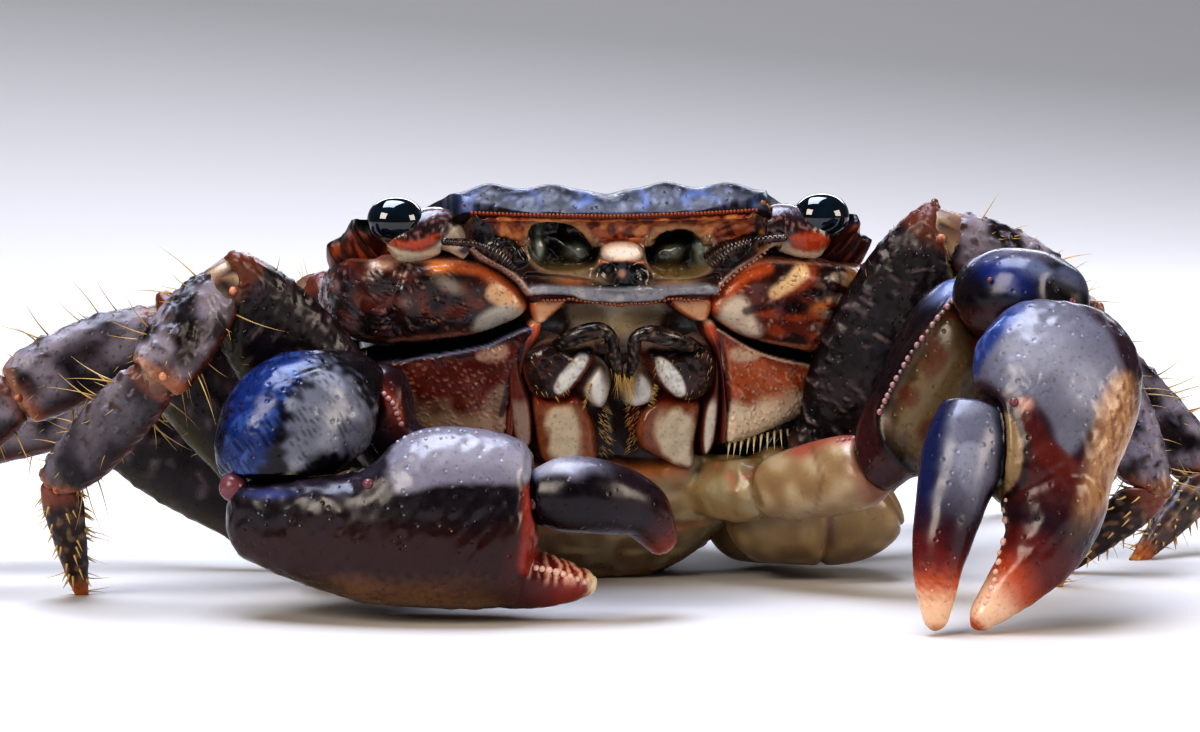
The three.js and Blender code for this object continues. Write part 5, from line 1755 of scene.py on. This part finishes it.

# ---- Hands: palms with their fixed fingers, and the moving fingers ----
# Swollen, polished plates with small pits and a few pearly knobs. The upper faces have a painted grey-blue sheen,
# the lower ones turn red-brown and then tan, and the fingertips are bare cream-coloured horn with blunt teeth.
PALM_LINES = {
    "right": [(-25.9, -20.4, 6.6), (-16.5, -24.0, 6.4), (-7.0, -26.2, 6.0)],
    "left": [(26.2, -29.2, 19.4), (25.0, -32.0, 14.0), (22.4, -34.6, 7.4)],
}
RIGHT_PALM_DROP = 26  # how far the right palm lies below its place on the chart that its pattern is drawn on
LEFT_PALM_RISE = 20  # how far the left fingertips stand above theirs
PALM_FACE_OUT = {"right": (-0.2, -1, 0.1), "left": (0.1, -1, 0.45)}
PALM_SECTIONS = {
    # share of the way along, then the section towards the moving finger, away from it, and to each side
    "right": [
        (0, 1.8, 2.0, 1.5), (0.08, 2.3, 3.0, 2.4), (0.26, 2.6, 4.3, 3.4), (0.44, 3.0, 5.2, 3.9),
        (0.54, 4.9, 5.4, 4.1), (0.64, 5.9, 5.4, 4.2), (0.8, 5.9, 5.4, 3.9), (0.94, 5.3, 5.0, 3.2),
        (1, 4.2, 4.2, 2.5)
    ],
    "left": [
        (0, 2.2, 2.1, 1.7), (0.1, 4.4, 3.6, 2.7), (0.28, 5.6, 4.6, 3.6), (0.48, 5.5, 4.9, 3.9),
        (0.7, 4.6, 4.5, 3.7), (0.9, 3.4, 4.1, 3.2), (1, 2.2, 3.3, 2.5)
    ],
}
FIXED_FINGERS = {
    "right": ([(-9.6, -25.8, 2.9), (-6.4, -26.2, 2.5), (-3.3, -25.8, 2.2)], [1.9, 2.0, 1.8, 1.5, 1.1, 0.6]),
    "left": ([(24.4, -33.9, 9.8), (23.0, -35.5, 5.4), (18.3, -36.4, 0.4)], [2.6, 3.3, 3.1, 2.6, 2.0, 1.35, 0.6]),
}
MOVING_FINGERS = {
    "right": (
        [(-7.8, -26.0, 7.8), (-3.9, -26.4, 7.9), (-0.6, -25.8, 6.9), (1.5, -25.0, 4.2)],
        [1.5, 2.25, 2.4, 2.2, 1.9, 1.45, 0.8]
    ),
    "left": (
        [(19.5, -32.6, 13.9), (17.9, -34.2, 9.6), (16.3, -35.8, 4.6), (15.9, -36.5, 0.3)],
        [1.9, 2.55, 2.45, 2.05, 1.65, 1.2, 0.6]
    ),
}


def tree_of(*pieces):
    """One search tree over pieces, in mm."""
    points, faces = [], []
    for piece in pieces:
        faces += [[i + len(points) for i in face.vertices] for face in piece.data.polygons]
        points += (points_of(piece.data) / MM).tolist()
    return BVHTree.FromPolygons(points, faces)


GAP_SEARCH = 1.6


def gap_to(points, neighbour):
    """Signed distance in mm from points to a neighbouring piece, negative inside it, and FAR if it is far."""
    distance = np.full(len(points), FAR)
    for k, point in enumerate(points):
        at, normal, _, away = neighbour.find_nearest(point, GAP_SEARCH)
        if at is not None:
            distance[k] = away if (Vector(point) - at).dot(normal) > 0 else -away
    return distance


def seen_at(surface, u, v):
    """Where the line of sight through a place on the front chart meets a piece, in mm, or nothing."""
    way = sight_ahead + sight_right * (u - CHART_WIDTH / 2) / SIGHT_SCALE + sight_up * (
        CHART_HEIGHT / 2 - v
    ) / SIGHT_SCALE
    return surface.ray_cast(SIGHT_FROM / MM, way / np.linalg.norm(way))[0]


def stud(kept, surface, places, nudges=((0, 0),)):
    """Sets grains on a piece where lines of sight through places (u, v, size) meet it, nudged until one does."""
    for u, v, size in places:
        for nudge_u, nudge_v in nudges:
            at = seen_at(surface, u + nudge_u, v + nudge_v)
            if at:
                kept.append((np.array(at), size))
                break


def crest_places(line, count, size_of):
    """Evenly numbered places along a crest: size_of gives the size at each."""
    shares, line = np.linspace(0, 1, count), np.array(line, float)
    corners = np.linspace(0, 1, len(line))
    return [(np.interp(s, corners, line[:, 0]), np.interp(s, corners, line[:, 1]), size_of(s)) for s in shares]


def finger_mesh(name, line, radii, face_out, rings=64, sides=40):
    shares = np.concatenate([[0, 0.004, 0.012, 0.025], np.linspace(0.045, 0.955, rings), [0.972, 0.985, 0.995, 1]])
    size = profile([(i / (len(radii) - 1), radius) for i, radius in enumerate(radii)], shares)
    (size,) = round_ends(shares, [size], 0.05)
    rings = hand_rings(line, shares, size, size, size * 0.94, face_out, sides, 1.0)
    rings[..., 2] = np.maximum(rings[..., 2], 0)
    return skin_over(name, rings * MM)


def palm_mesh(side_name):
    """The palm and its fixed finger, remeshed into one skin and eased where they meet."""
    rows = np.array(PALM_SECTIONS[side_name])
    shares = np.concatenate([[0, 0.004, 0.012, 0.025], np.linspace(0.04, 0.96, 76), [0.975, 0.988, 0.996, 1]])
    sizes = [profile(list(zip(rows[:, 0], rows[:, i])), shares) for i in (1, 2, 3)]
    sizes = round_ends(shares, sizes, 0.06)
    body = skin_over(
        "palm_body", hand_rings(PALM_LINES[side_name], shares, *sizes, PALM_FACE_OUT[side_name], 84, 0.82) * MM
    )
    finger = finger_mesh("palm_finger", *FIXED_FINGERS[side_name], PALM_FACE_OUT[side_name])
    select_only(body, finger)
    bpy.ops.object.join()
    ease(body, 0.16, 14)
    return body


palms = {}
for side_name, side in SIDES.items():
    line, radii = MOVING_FINGERS[side_name]
    finger = finger_mesh(f"claw_{side_name}_moving_finger", line, radii, PALM_FACE_OUT[side_name], 90, 56)
    palm = palm_mesh(side_name)
    palm.name = f"claw_{side_name}_hand"
    palms[side_name] = palm
    points, normals = points_of(palm.data) / MM, normals_of(palm.data)
    near_finger = gap_to(points, tree_of(finger))
    near_wrist = gap_to(points, tree_of(bpy.data.objects[f"claw_{side_name}_carpus_shell"]))
    _, _, way = along_line(points, PALM_LINES[side_name])
    outward = (normals * square_to(way, PALM_FACE_OUT[side_name])).sum(1)
    pollex_line = FIXED_FINGERS[side_name][0]
    along_pollex, pollex_offset, _ = along_line(points, pollex_line)
    is_pollex = ramp(np.linalg.norm(pollex_offset, axis=1), 4.3, 3.4) * ramp(along_pollex, 0.2, 0.45)
    coarse, fine, flecks = mottle(points, 3.2, 91), mottle(points, 1.0, 92), mottle(points, 0.45, 93)
    socket = np.exp(-(((near_finger - 0.1) / 0.3) ** 2))
    rim = np.exp(-(((near_finger - 0.75) / 0.28) ** 2))
    wrist = np.exp(-(((near_wrist - 0.1) / 0.35) ** 2))
    lift = 0.03 * fine + 0.05 * coarse - 0.35 * socket + 0.12 * rim - 0.3 * wrist
    u, v = chart(points * MM).T
    seen = ramp(-(normals @ sight_ahead), -0.15, 0.2)
    if side_name == "right":
        v = v - RIGHT_PALM_DROP
        top = ramp(
            depth_inside(
                [
                    (386, 456), (390, 420), (408, 402), (440, 396), (500, 400), (532, 408), (543, 425), (543, 452),
                    (520, 460), (470, 456), (432, 460), (405, 472)
                ],
                u, v
            ) + 0.12 * fine,
            -0.3, 0.35
        )
        ribs = ramp(np.sin(along_pollex * 60 + 2 * mottle(points, 1.5, 97)), -0.2, 0.5)
        ribs = ribs * ramp(normals[:, 2], -0.2, 0.3)
        paint(
            palm,
            "#1a1118",
            # Painted sheen: lighter upward faces, a grey reflection over the top, strongest where it faces the
            # camera, paler highlights in it, and a blue-violet gloss at the wrist.
            ("#2e2430", 0.6 * ramp(normals[:, 2], 0.2, 0.9)),
            ("#7a7884", 0.95 * top * np.maximum(seen, 0.5)),
            ("#a09da6", 0.5 * top * (spot(u, v, (465, 425), (60, 17)) + spot(u, v, (522, 440), (16, 14)))),
            ("#46538a", 0.7 * spot(u, v, (268, 468), (24, 5))),
            ("#300f0a", 0.85 * ramp(v + 6 * coarse, 478, 520)),
            ("#74502f", 0.8 * ramp(v + 5 * coarse + 3 * flecks, 548, 574) * ramp(u, 530, 470)),
            ("#3c2218", 0.6 * ramp(v, 535, 560) * ramp(flecks + 0.5 * fine, 0.3, 0.9)),
            (
                "#421410",
                0.8 * ramp(
                    depth_inside([(505, 530), (530, 500), (545, 480), (548, 540), (540, 600), (500, 600)], u, v),
                    -0.6, 0.3
                )
            ),
            (
                "#96341f",
                0.9 * ramp(distance_to_line([(532, 466), (531, 500), (529, 530), (528, 540)], u, v), 0.9, 0.3)
            ),
            ("#5a1a18", 0.95 * is_pollex),
            ("#8c2f22", 0.8 * is_pollex * ramp(along_pollex, 0.4, 0.7)),
            ("#d8a890", 0.9 * is_pollex * ribs * ramp(along_pollex, 0.36, 0.5)),
            ("#e8d6b4", is_pollex * ramp(along_pollex + 0.03 * flecks, 0.84, 0.93)),
            ("#0d080c", 0.9 * socket + 0.7 * wrist),
        )
        lift = lift + 0.07 * is_pollex * ribs
    else:
        v = v + LEFT_PALM_RISE * ramp(v, 470, 620)
        pale = ramp(
            depth_inside(
                [
                    (998, 314), (1030, 298), (1072, 301), (1106, 328), (1124, 370), (1118, 402), (1092, 424),
                    (1072, 456), (1058, 446), (1045, 412), (1030, 396), (1008, 392), (980, 378), (958, 378),
                    (972, 345)
                ],
                u, v
            ) + 0.15 * coarse,
            -0.35, 0.3
        )
        blue = ramp(
            depth_inside(
                [(950, 392), (960, 352), (985, 322), (1012, 302), (1036, 302), (1004, 335), (988, 360), (976, 384)],
                u, v
            ) + 0.1 * coarse,
            -0.2, 0.5
        )
        edge = ramp(
            depth_inside(
                [
                    (1104, 392), (1134, 370), (1136, 440), (1120, 480), (1100, 520), (1074, 556), (1064, 548),
                    (1084, 490), (1096, 440)
                ],
                u, v
            ) + 0.15 * coarse,
            -0.7, 0.5
        )
        streaks = ramp(mottle(points * (1.6, 1.6, 0.5), 0.9, 94), 0.1, 0.6)
        red = ramp(
            depth_inside(
                [
                    (1010, 400), (1040, 410), (1056, 446), (1074, 462), (1090, 462), (1076, 520), (1050, 565),
                    (1010, 560), (1003, 500), (1018, 470), (1022, 430)
                ],
                u, v
            ) + 0.15 * coarse,
            -0.3, 0.4
        )
        hinge_u, hinge_v = 1034, 390
        away = np.hypot(u - hinge_u, v - hinge_v) * CHART_STEP
        turn = np.arctan2(v - hinge_v, u - hinge_u)
        creases = ramp(np.cos(9 * turn + 1.2 * mottle(points, 1.5, 98)), 0.75, 1.0)
        creases = creases * np.exp(-((away / 1.2) ** 2)) * ramp(away, 0.1, 0.35)
        skin = ramp(
            depth_inside(
                [
                    (1000, 408), (1014, 416), (1025, 445), (1021, 478), (1004, 500), (990, 500), (1004, 465),
                    (1006, 440)
                ],
                u, v
            ),
            -0.05, 0.15
        )
        paint(
            palm,
            "#33202a",
            ("#4a1d1c", 0.75 * ramp(-outward, -0.1, 0.5)),
            # Painted sheen: a lavender-grey reflection across the middle with paler highlights, and a blue sheen
            # towards the moving finger with lighter flecks.
            ("#6c6c78", 0.95 * pale),
            ("#9c9ca6", 0.6 * pale * (spot(u, v, (1040, 350), (40, 30)) + spot(u, v, (1085, 385), (22, 26)))),
            ("#223a74", 0.9 * blue),
            ("#6f8fd0", 0.25 * blue * ramp(fine, 0.2, 0.8)),
            ("#4c1a17", 0.92 * red),
            ("#6a2c20", 0.5 * red * ramp(coarse, 0.1, 0.8)),
            ("#a67f58", 0.9 * edge),
            ("#6c3a22", 0.6 * edge * streaks),
            ("#cdb090", 0.5 * edge * ramp(flecks, 0.2, 0.8) * ramp(v, 500, 440)),
            ("#d8a898", 0.7 * spot(u, v, (1026, 404), (8, 7))),
            ("#5c5c6c", 0.7 * creases),
            ("#8a7350", 0.9 * skin),
            (
                "#241216",
                0.95 * ramp(distance_to_line([(1014, 412), (1028, 445), (1024, 480), (1004, 504)], u, v), 0.3, 0.1)
            ),
            ("#241722", 0.85 * is_pollex * ramp(along_pollex, 0.62, 0.45)),
            ("#5e1e1a", 0.92 * is_pollex * ramp(along_pollex + 0.02 * coarse, 0.42, 0.64)),
            ("#b0502c", 0.92 * is_pollex * ramp(along_pollex + 0.02 * coarse, 0.62, 0.76)),
            ("#e2bfa2", 0.97 * is_pollex * ramp(along_pollex + 0.02 * coarse, 0.72, 0.88)),
            ("#b0532c", is_pollex * ramp(along_pollex, 0.95, 0.99)),
            ("#160c10", 0.9 * socket + 0.6 * wrist),
        )
        lift = lift - 0.06 * creases
    put_points(palm.data, (points + normals * lift[:, None]) * MM)
    finish_piece(palm, claw_shell, "claw_shell", f"claw_{side_name}_palm")

    points, normals = points_of(finger.data) / MM, normals_of(finger.data)
    s, _, way = along_line(points, line)
    outward = (normals * square_to(way, PALM_FACE_OUT[side_name])).sum(1)
    coarse, flecks = mottle(points, 2.4, 95), mottle(points, 0.4, 96)
    if side_name == "right":
        outer = normals[:, 2]
        paint(
            finger,
            "#150d14",
            # A painted grey sheen and highlight on the upper face near the base.
            ("#7c7a88", 0.9 * ramp(outer + 0.25 * coarse, 0.35, 0.8) * ramp(s, 0.5, 0.2)),
            ("#a9a6ac", 0.6 * ramp(outer, 0.5, 0.9) * ramp(s, 0.3, 0.15)),
            ("#2a1a22", 0.7 * ramp(s, 0.3, 0.6)),
            ("#4e1f18", 0.9 * ramp(s + 0.05 * coarse, 0.66, 0.84)),
            ("#7c2f1c", 0.8 * ramp(s + 0.03 * flecks, 0.82, 0.93)),
            ("#a85a34", 0.9 * ramp(s, 0.93, 0.99)),
        )
    else:
        outer = -normals[:, 0]
        paint(
            finger,
            "#221824",
            # Painted sheen: a lavender reflection in the middle with a pale highlight streak, and a blue sheen on the
            # outer edge.
            ("#6c6d7c", 0.9 * ramp(outward + 0.1 * coarse, 0.45, 0.85) * ramp(s, 0.6, 0.36)),
            ("#a9abb6", 0.4 * ramp(outward, 0.85, 0.98) * ramp(s, 0.5, 0.3) * ramp(coarse, -0.3, 0.5)),
            ("#18244c", 0.9 * ramp(outer, 0.45, 0.85) * ramp(s, 0.66, 0.4)),
            ("#3a1822", 0.85 * ramp(s + 0.03 * coarse, 0.45, 0.62)),
            ("#6e2218", 0.9 * ramp(s + 0.03 * coarse, 0.58, 0.72)),
            ("#b8582f", 0.92 * ramp(s + 0.015 * flecks, 0.68, 0.8)),
            ("#e4bf9e", 0.95 * ramp(s + 0.015 * flecks, 0.76, 0.9)),
            ("#c07a52", 0.7 * ramp(s, 0.96, 0.995)),
        )
    put_points(finger.data, (points + normals * (0.04 * coarse)[:, None]) * MM)
    finish_piece(finger, claw_shell, "claw_tip", f"claw_{side_name}_finger")

# ---- Knobs, pegs and teeth of the claws ----
# Pearly grains on the ridge of the palm, a pale beaded crest on each upper arm, rounded pegs at the joints
# and blunt teeth along the fixed fingers.
claw_pearls, arm_beads, teeth, pegs = [], [], [], []


def trees_for(*names):
    return tree_of(*(bpy.data.objects[name] for name in names))


palm_tree = tree_of(palms["right"])
PEARLS = [
    (398, 442, 0.13), (405, 438, 0.16), (413, 435, 0.12), (421, 433, 0.17), (430, 432, 0.14), (438, 431, 0.19),
    (449, 432, 0.13), (412, 442, 0.11), (426, 439, 0.12), (441, 438, 0.11), (461, 431, 0.12), (476, 433, 0.11)
]
TEETH_RIGHT = [
    (536, 568, 0.2), (542, 569, 0.22), (549, 570, 0.24), (556, 572, 0.24), (563, 574, 0.22), (570, 576, 0.2),
    (577, 579, 0.2), (584, 582, 0.2)
]
TEETH_LEFT = [
    (1006, 500, 0.15), (1004, 510, 0.2), (1006, 520, 0.27), (1003, 531, 0.24), (1004, 542, 0.26), (1000, 553, 0.2),
    (999, 562, 0.24), (996, 572, 0.2), (995, 580, 0.18), (991, 588, 0.2), (988, 596, 0.16), (985, 603, 0.16)
]
CREST_RIGHT = [(322, 350), (345, 363), (372, 383), (392, 402), (401, 424)]
CREST_LEFT = [(968, 264), (962, 290), (938, 318), (912, 352), (893, 385), (880, 412)]
stud(claw_pearls, palm_tree, PEARLS)
stud(teeth, palm_tree, TEETH_RIGHT)
stud(
    arm_beads, trees_for("claw_right_merus_shell"),
    crest_places(CREST_RIGHT, 18, lambda s: 0.2 if int(s * 17) % 2 else 0.15)
)
stud(
    arm_beads,
    trees_for("claw_left_merus_shell"),
    crest_places(CREST_LEFT, 26, lambda s: 0.22 if int(s * 25) % 3 else 0.15),
    [(nudge, 0) for nudge in (0, 4, 8, 12)],
)
stud(
    arm_beads,
    trees_for("claw_left_ischium_shell"),
    [(838 + 58 * s, 441 - 9 * s, 0.13 + 0.05 * (int(s * 11) % 2)) for s in np.linspace(0, 1, 12)],
    [(0, nudge) for nudge in (0, 4, 8, 12, 16)],
)
stud(teeth, tree_of(palms["left"]), TEETH_LEFT)
stud(pegs, trees_for("claw_left_hand", "claw_left_carpus_shell"), [(1014, 402, 0.3), (1072, 302, 0.3)])
stud(pegs, trees_for("claw_right_hand", "claw_right_carpus_shell"), [(532, 504, 0.4), (368, 484, 0.36)])
stud(pegs, trees_for("claw_left_carpus_shell"), [(990, 280, 0.2)])
pegs += [((-25.6, -21.6, 8.3), 0.95), ((-24.9, -22.6, 7.4), 0.6)]
beads("palm_pearls", claw_pearls, "#a9a4b4", claw_shell, "claw_shell")
beads("arm_beads", arm_beads, "#a8827e", claw_shell, "claw_shell")
beads("finger_teeth", teeth, "#dcb6a4", claw_shell, "claw_tip")
beads("claw_pegs", pegs, "#74464c", claw_shell, "claw_shell")

# ---- Walking legs ----
# Eight flattened legs of four tube-like plates each. The long thigh plates carry short scale-like ridges,
# the outer plates low knobs and straw-coloured bristles, and the last one golden spines and an amber tip.
LEG_LENGTHS = [
    {"merus": 18.2, "carpus": 8, "propodus": 10.5, "dactylus": 9.6},
    {"merus": 18.6, "carpus": 10, "propodus": 12, "dactylus": 9},
    {"merus": 19.5, "carpus": 10, "propodus": 12, "dactylus": 9},
    {"merus": 17, "carpus": 7.8, "propodus": 9.6, "dactylus": 8.2},
]
LEG_ROOTS = [(13.2, -10.8, 7.8), (15.4, -6.4, 4.4), (15.2, -1.2, 3.3), (12.8, 4.6, 2.9)]
LEG_POSES = {
    "right": [
        {"merus": (21, 44), "carpus": (34, -44), "propodus": (-42, -42), "dactylus": -110},
        {"merus": (-3, 42), "carpus": (6, -24), "propodus": (-10, -34), "dactylus": -14},
        {"merus": (-20, 22), "carpus": (-10, -10), "propodus": (-20, -20), "dactylus": -26},
        {"merus": (-62, 60), "carpus": (-95, -20), "propodus": (-60, -62), "dactylus": -45},
    ],
    "left": [
        {"merus": (29, 58), "carpus": (6, -27), "propodus": (2, -80), "dactylus": -172},
        {"merus": (-18, 56), "carpus": (20, -23), "propodus": (62, -58), "dactylus": -155},
        {"merus": (-28, 43), "carpus": (12, -16), "propodus": (30, -46), "dactylus": 152},
        {"merus": (-45, 40), "carpus": (-32, -14), "propodus": (-34, -44), "dactylus": -30},
    ],
}
LEG_PARTS = ["merus", "carpus", "propodus", "dactylus"]
LEG_END_WIDTH = {"merus": 2.0, "carpus": 1.6, "propodus": 1.1, "dactylus": 0.3}
TIP_SINK = 0.25


def leg_direction(side, heading, rise):
    h, r = math.radians(heading), math.radians(rise)
    return np.array([side * math.cos(h) * math.cos(r), -math.sin(h) * math.cos(r), math.sin(r)])


def leg_joints(side_name, pair):
    """The joints of a leg in mm, from its root to its tip on the ground."""
    side = SIDES[side_name]
    pose, lengths = LEG_POSES[side_name][pair], LEG_LENGTHS[pair]
    joints = [np.array(LEG_ROOTS[pair]) * (side, 1, 1)]
    for part in LEG_PARTS[:3]:
        joints.append(joints[-1] + leg_direction(side, *pose[part]) * lengths[part])
    drop = math.degrees(math.asin((joints[-1][2] + TIP_SINK) / lengths["dactylus"]))
    joints.append(joints[-1] + leg_direction(side, pose["dactylus"], -drop) * lengths["dactylus"])
    return joints


leg_shell = shell_finish(
    "wet_chitin_legs", 0.3, flecks=0.5, fleck_size=0.4, pit_size=0.55, pit_depth=0.06, wet=0.12, gloss=1.42
)
talon_shell = shell_finish(
    "horny_leg_tips", 0.42, fleck="#1c100a", flecks=0.6, fleck_size=0.25, pit_size=0.3, pit_depth=0.04, wet=0.2
)


def dress_leg_piece(side_name, pair, part, joints, facing):
    """One plate of a leg: its CAD solid rounded off, then ridged, knobbed and painted."""
    i = LEG_PARTS.index(part)
    start, end = joints[i], joints[i + 1]
    level = 4 if pair == 0 or (side_name == "left" and pair == 1) else 3
    node = f"leg_{side_name}_{pair + 1}_{part}"
    piece = rounded_copy(node, node + "_shell", level)
    axis, across, up = limb_axes(start, end, facing)
    points = points_of(piece.data) / MM
    normals = normals_of(piece.data)
    length = np.linalg.norm(end - start)
    t = (points - start) @ axis / length
    facing_up = normals @ up
    seed = 40 + 4 * pair + i + (20 if side_name == "left" else 0)
    blotch = mottle(points, 2.4, seed)
    fine = mottle(points, 0.7, seed + 1)
    if part == "merus":
        wave = (t * length) / 1.05 + 0.5 * mottle(points, 3.0, seed + 2)
        ridge = np.maximum(np.sin(2 * math.pi * wave), 0) ** 5 * ramp(mottle(points, 1.5, seed + 3), -0.1, 0.5)
        lift = 0.13 * ridge + 0.04 * fine
        paint(
            piece,
            "#191113",
            ("#2c2024", ramp(blotch, 0, 0.8)),
            ("#6d5a62", 0.75 * ridge),
            ("#8a8070", 0.5 * ridge * ramp(fine, 0.2, 0.8)),
            ("#4b4630", 0.85 * ramp(-facing_up, 0.15, 0.75)),
            ("#6c3a26", 0.8 * ramp(t, 0.94, 0.99)),
            ("#70503c", 0.6 * ramp(0.12 - t, 0, 0.08)),
        )
    elif part == "dactylus":
        furrow = np.cos(3 * np.arctan2((points - start) @ across, (points - start) @ up + 1e-9))
        lift = 0.06 * furrow + 0.04 * fine
        paint(
            piece,
            "#2a1c1a",
            ("#4a3430", ramp(blotch, 0.1, 0.9)),
            ("#8c6a52", 0.7 * ramp(fine, 0.35, 0.9)),
            ("#7c4430", 0.9 * ramp(0.18 - t, 0, 0.12)),
            ("#b0642a", ramp(t, 0.74, 0.9)),
            ("#c98a3c", ramp(t, 0.9, 1.0)),
        )
    else:
        knobs = ramp(mottle(points, 0.9, seed + 4), 0.55, 1.0) * ramp(facing_up, -0.5, 0.4)
        lit = ramp(0.8 * normals[:, 2] - 0.7 * normals[:, 1], -0.1, 0.8)
        lift = 0.14 * knobs + 0.05 * fine
        paint(
            piece,
            "#2a2226",
            ("#8f868e", 0.85 * lit * ramp(-blotch, -0.9, 0.6)),
            ("#150e12", 0.8 * ramp(blotch + 0.4 * fine, 0.5, 1.1)),
            ("#3a221c", 0.85 * knobs),
            ("#9aa0b4", 0.4 * knobs * ramp(fine, 0, 0.6)),
            ("#5c2a1e", 0.85 * ramp(-facing_up, 0.25, 0.8)),
            ("#a86a48", 0.85 * ramp(t, 0.86, 0.98) * ramp(-facing_up, -0.3, 0.4)),
            ("#96684c", 0.7 * ramp(t, 0.95, 1.0)),
            ("#7c4a34", 0.6 * ramp(0.08 - t, 0, 0.06)),
        )
    put_points(piece.data, (points + normals * lift[:, None]) * MM)
    material, slot = (talon_shell, "talon") if part == "dactylus" else (leg_shell, "leg_shell")
    finish_piece(piece, material, slot, node)
    return points, normals, t, facing_up


leg_skins, leg_knuckles, hair_roots, spine_roots = [], [], [], []
for side_name, side in SIDES.items():
    for pair in range(4):
        joints = leg_joints(side_name, pair)
        reach = (joints[3] - joints[0]) * (1, 1, 0)
        facing = np.cross(reach / np.linalg.norm(reach), (0, 0, 1))
        rng = np.random.default_rng(7 + pair + (10 if side > 0 else 0))
        for i, part in enumerate(LEG_PARTS):
            points, normals, t, facing_up = dress_leg_piece(side_name, pair, part, joints, facing)
            axis, across, up = limb_axes(joints[i], joints[i + 1], facing)
            if i < 3:
                leg_skins.append(
                    (joints[i + 1], axis, joints[i + 2] - joints[i + 1], across, LEG_END_WIDTH[part] * 0.92)
                )
                leg_knuckles.append((joints[i + 1], across, LEG_END_WIDTH[part] * 0.72))
            # Long bristles stand along the upper and lower edges, and rows of spines on the last plate.
            if part in ("carpus", "propodus", "dactylus"):
                chosen = np.flatnonzero((np.abs(facing_up) > 0.8) & (t > 0.08) & (t < 0.97))
                count = {"carpus": 14, "propodus": 20, "dactylus": 16}[part]
                for k in rng.choice(chosen, count):
                    lean = normals[k] + axis * rng.uniform(0.15, 0.7) + across * rng.uniform(-0.45, 0.45)
                    size = rng.uniform(1.2, 3.8) if part != "dactylus" else rng.uniform(0.8, 2.0)
                    hair_roots.append((points[k] - normals[k] * 0.1, lean, size, rng.uniform(0, 2 * math.pi)))
            if part in ("merus", "carpus", "propodus"):
                chosen = np.flatnonzero((t > 0.15) & (t < 0.95))
                for k in rng.choice(chosen, 26):
                    lean = normals[k] + axis * rng.uniform(0.3, 1.0)
                    hair_roots.append(
                        (points[k] - normals[k] * 0.05, lean, rng.uniform(0.4, 1.1), rng.uniform(0, 2 * math.pi))
                    )
            if part == "dactylus":
                for row in range(6):
                    turn = 2 * math.pi * (row + 0.5) / 6
                    outward = across * math.cos(turn) + up * math.sin(turn)
                    for step in np.arange(0.1, 0.9, 0.1):
                        near = np.flatnonzero((np.abs(t - step) < 0.05) & (normals @ outward > 0.8))
                        if len(near):
                            k = rng.choice(near)
                            spine_roots.append(
                                (points[k] - normals[k] * 0.05, normals[k] + axis * 0.9, rng.uniform(0.55, 0.95), 0)
                            )

leg_membranes = sleeves("leg_joint_skins", leg_skins)
finish_piece(leg_membranes, joint_skin, "membrane")
# The two rounded pegs that each joint turns on.
pegs = [
    (joint + across * side * half + bead_template[0] * (0.2 + 0.1 * half)) * MM
    for joint, across, half in leg_knuckles
    for side in (-1, 1)
]
knuckles = copies("leg_knuckles", bead_template, pegs)
paint(knuckles, "#8a4a34", ("#c08a6c", ramp(mottle(points_of(knuckles.data) / MM, 0.8, 9), 0, 0.8)))
finish_piece(knuckles, leg_shell, "leg_shell")
leg_bristles = bristles("leg_bristles", hair_roots, 0.045)
finish_piece(leg_bristles, straw_bristle, "bristle")
talon_spines = bristles("leg_tip_spines", spine_roots, 0.11)
finish_piece(talon_spines, straw_bristle, "bristle")
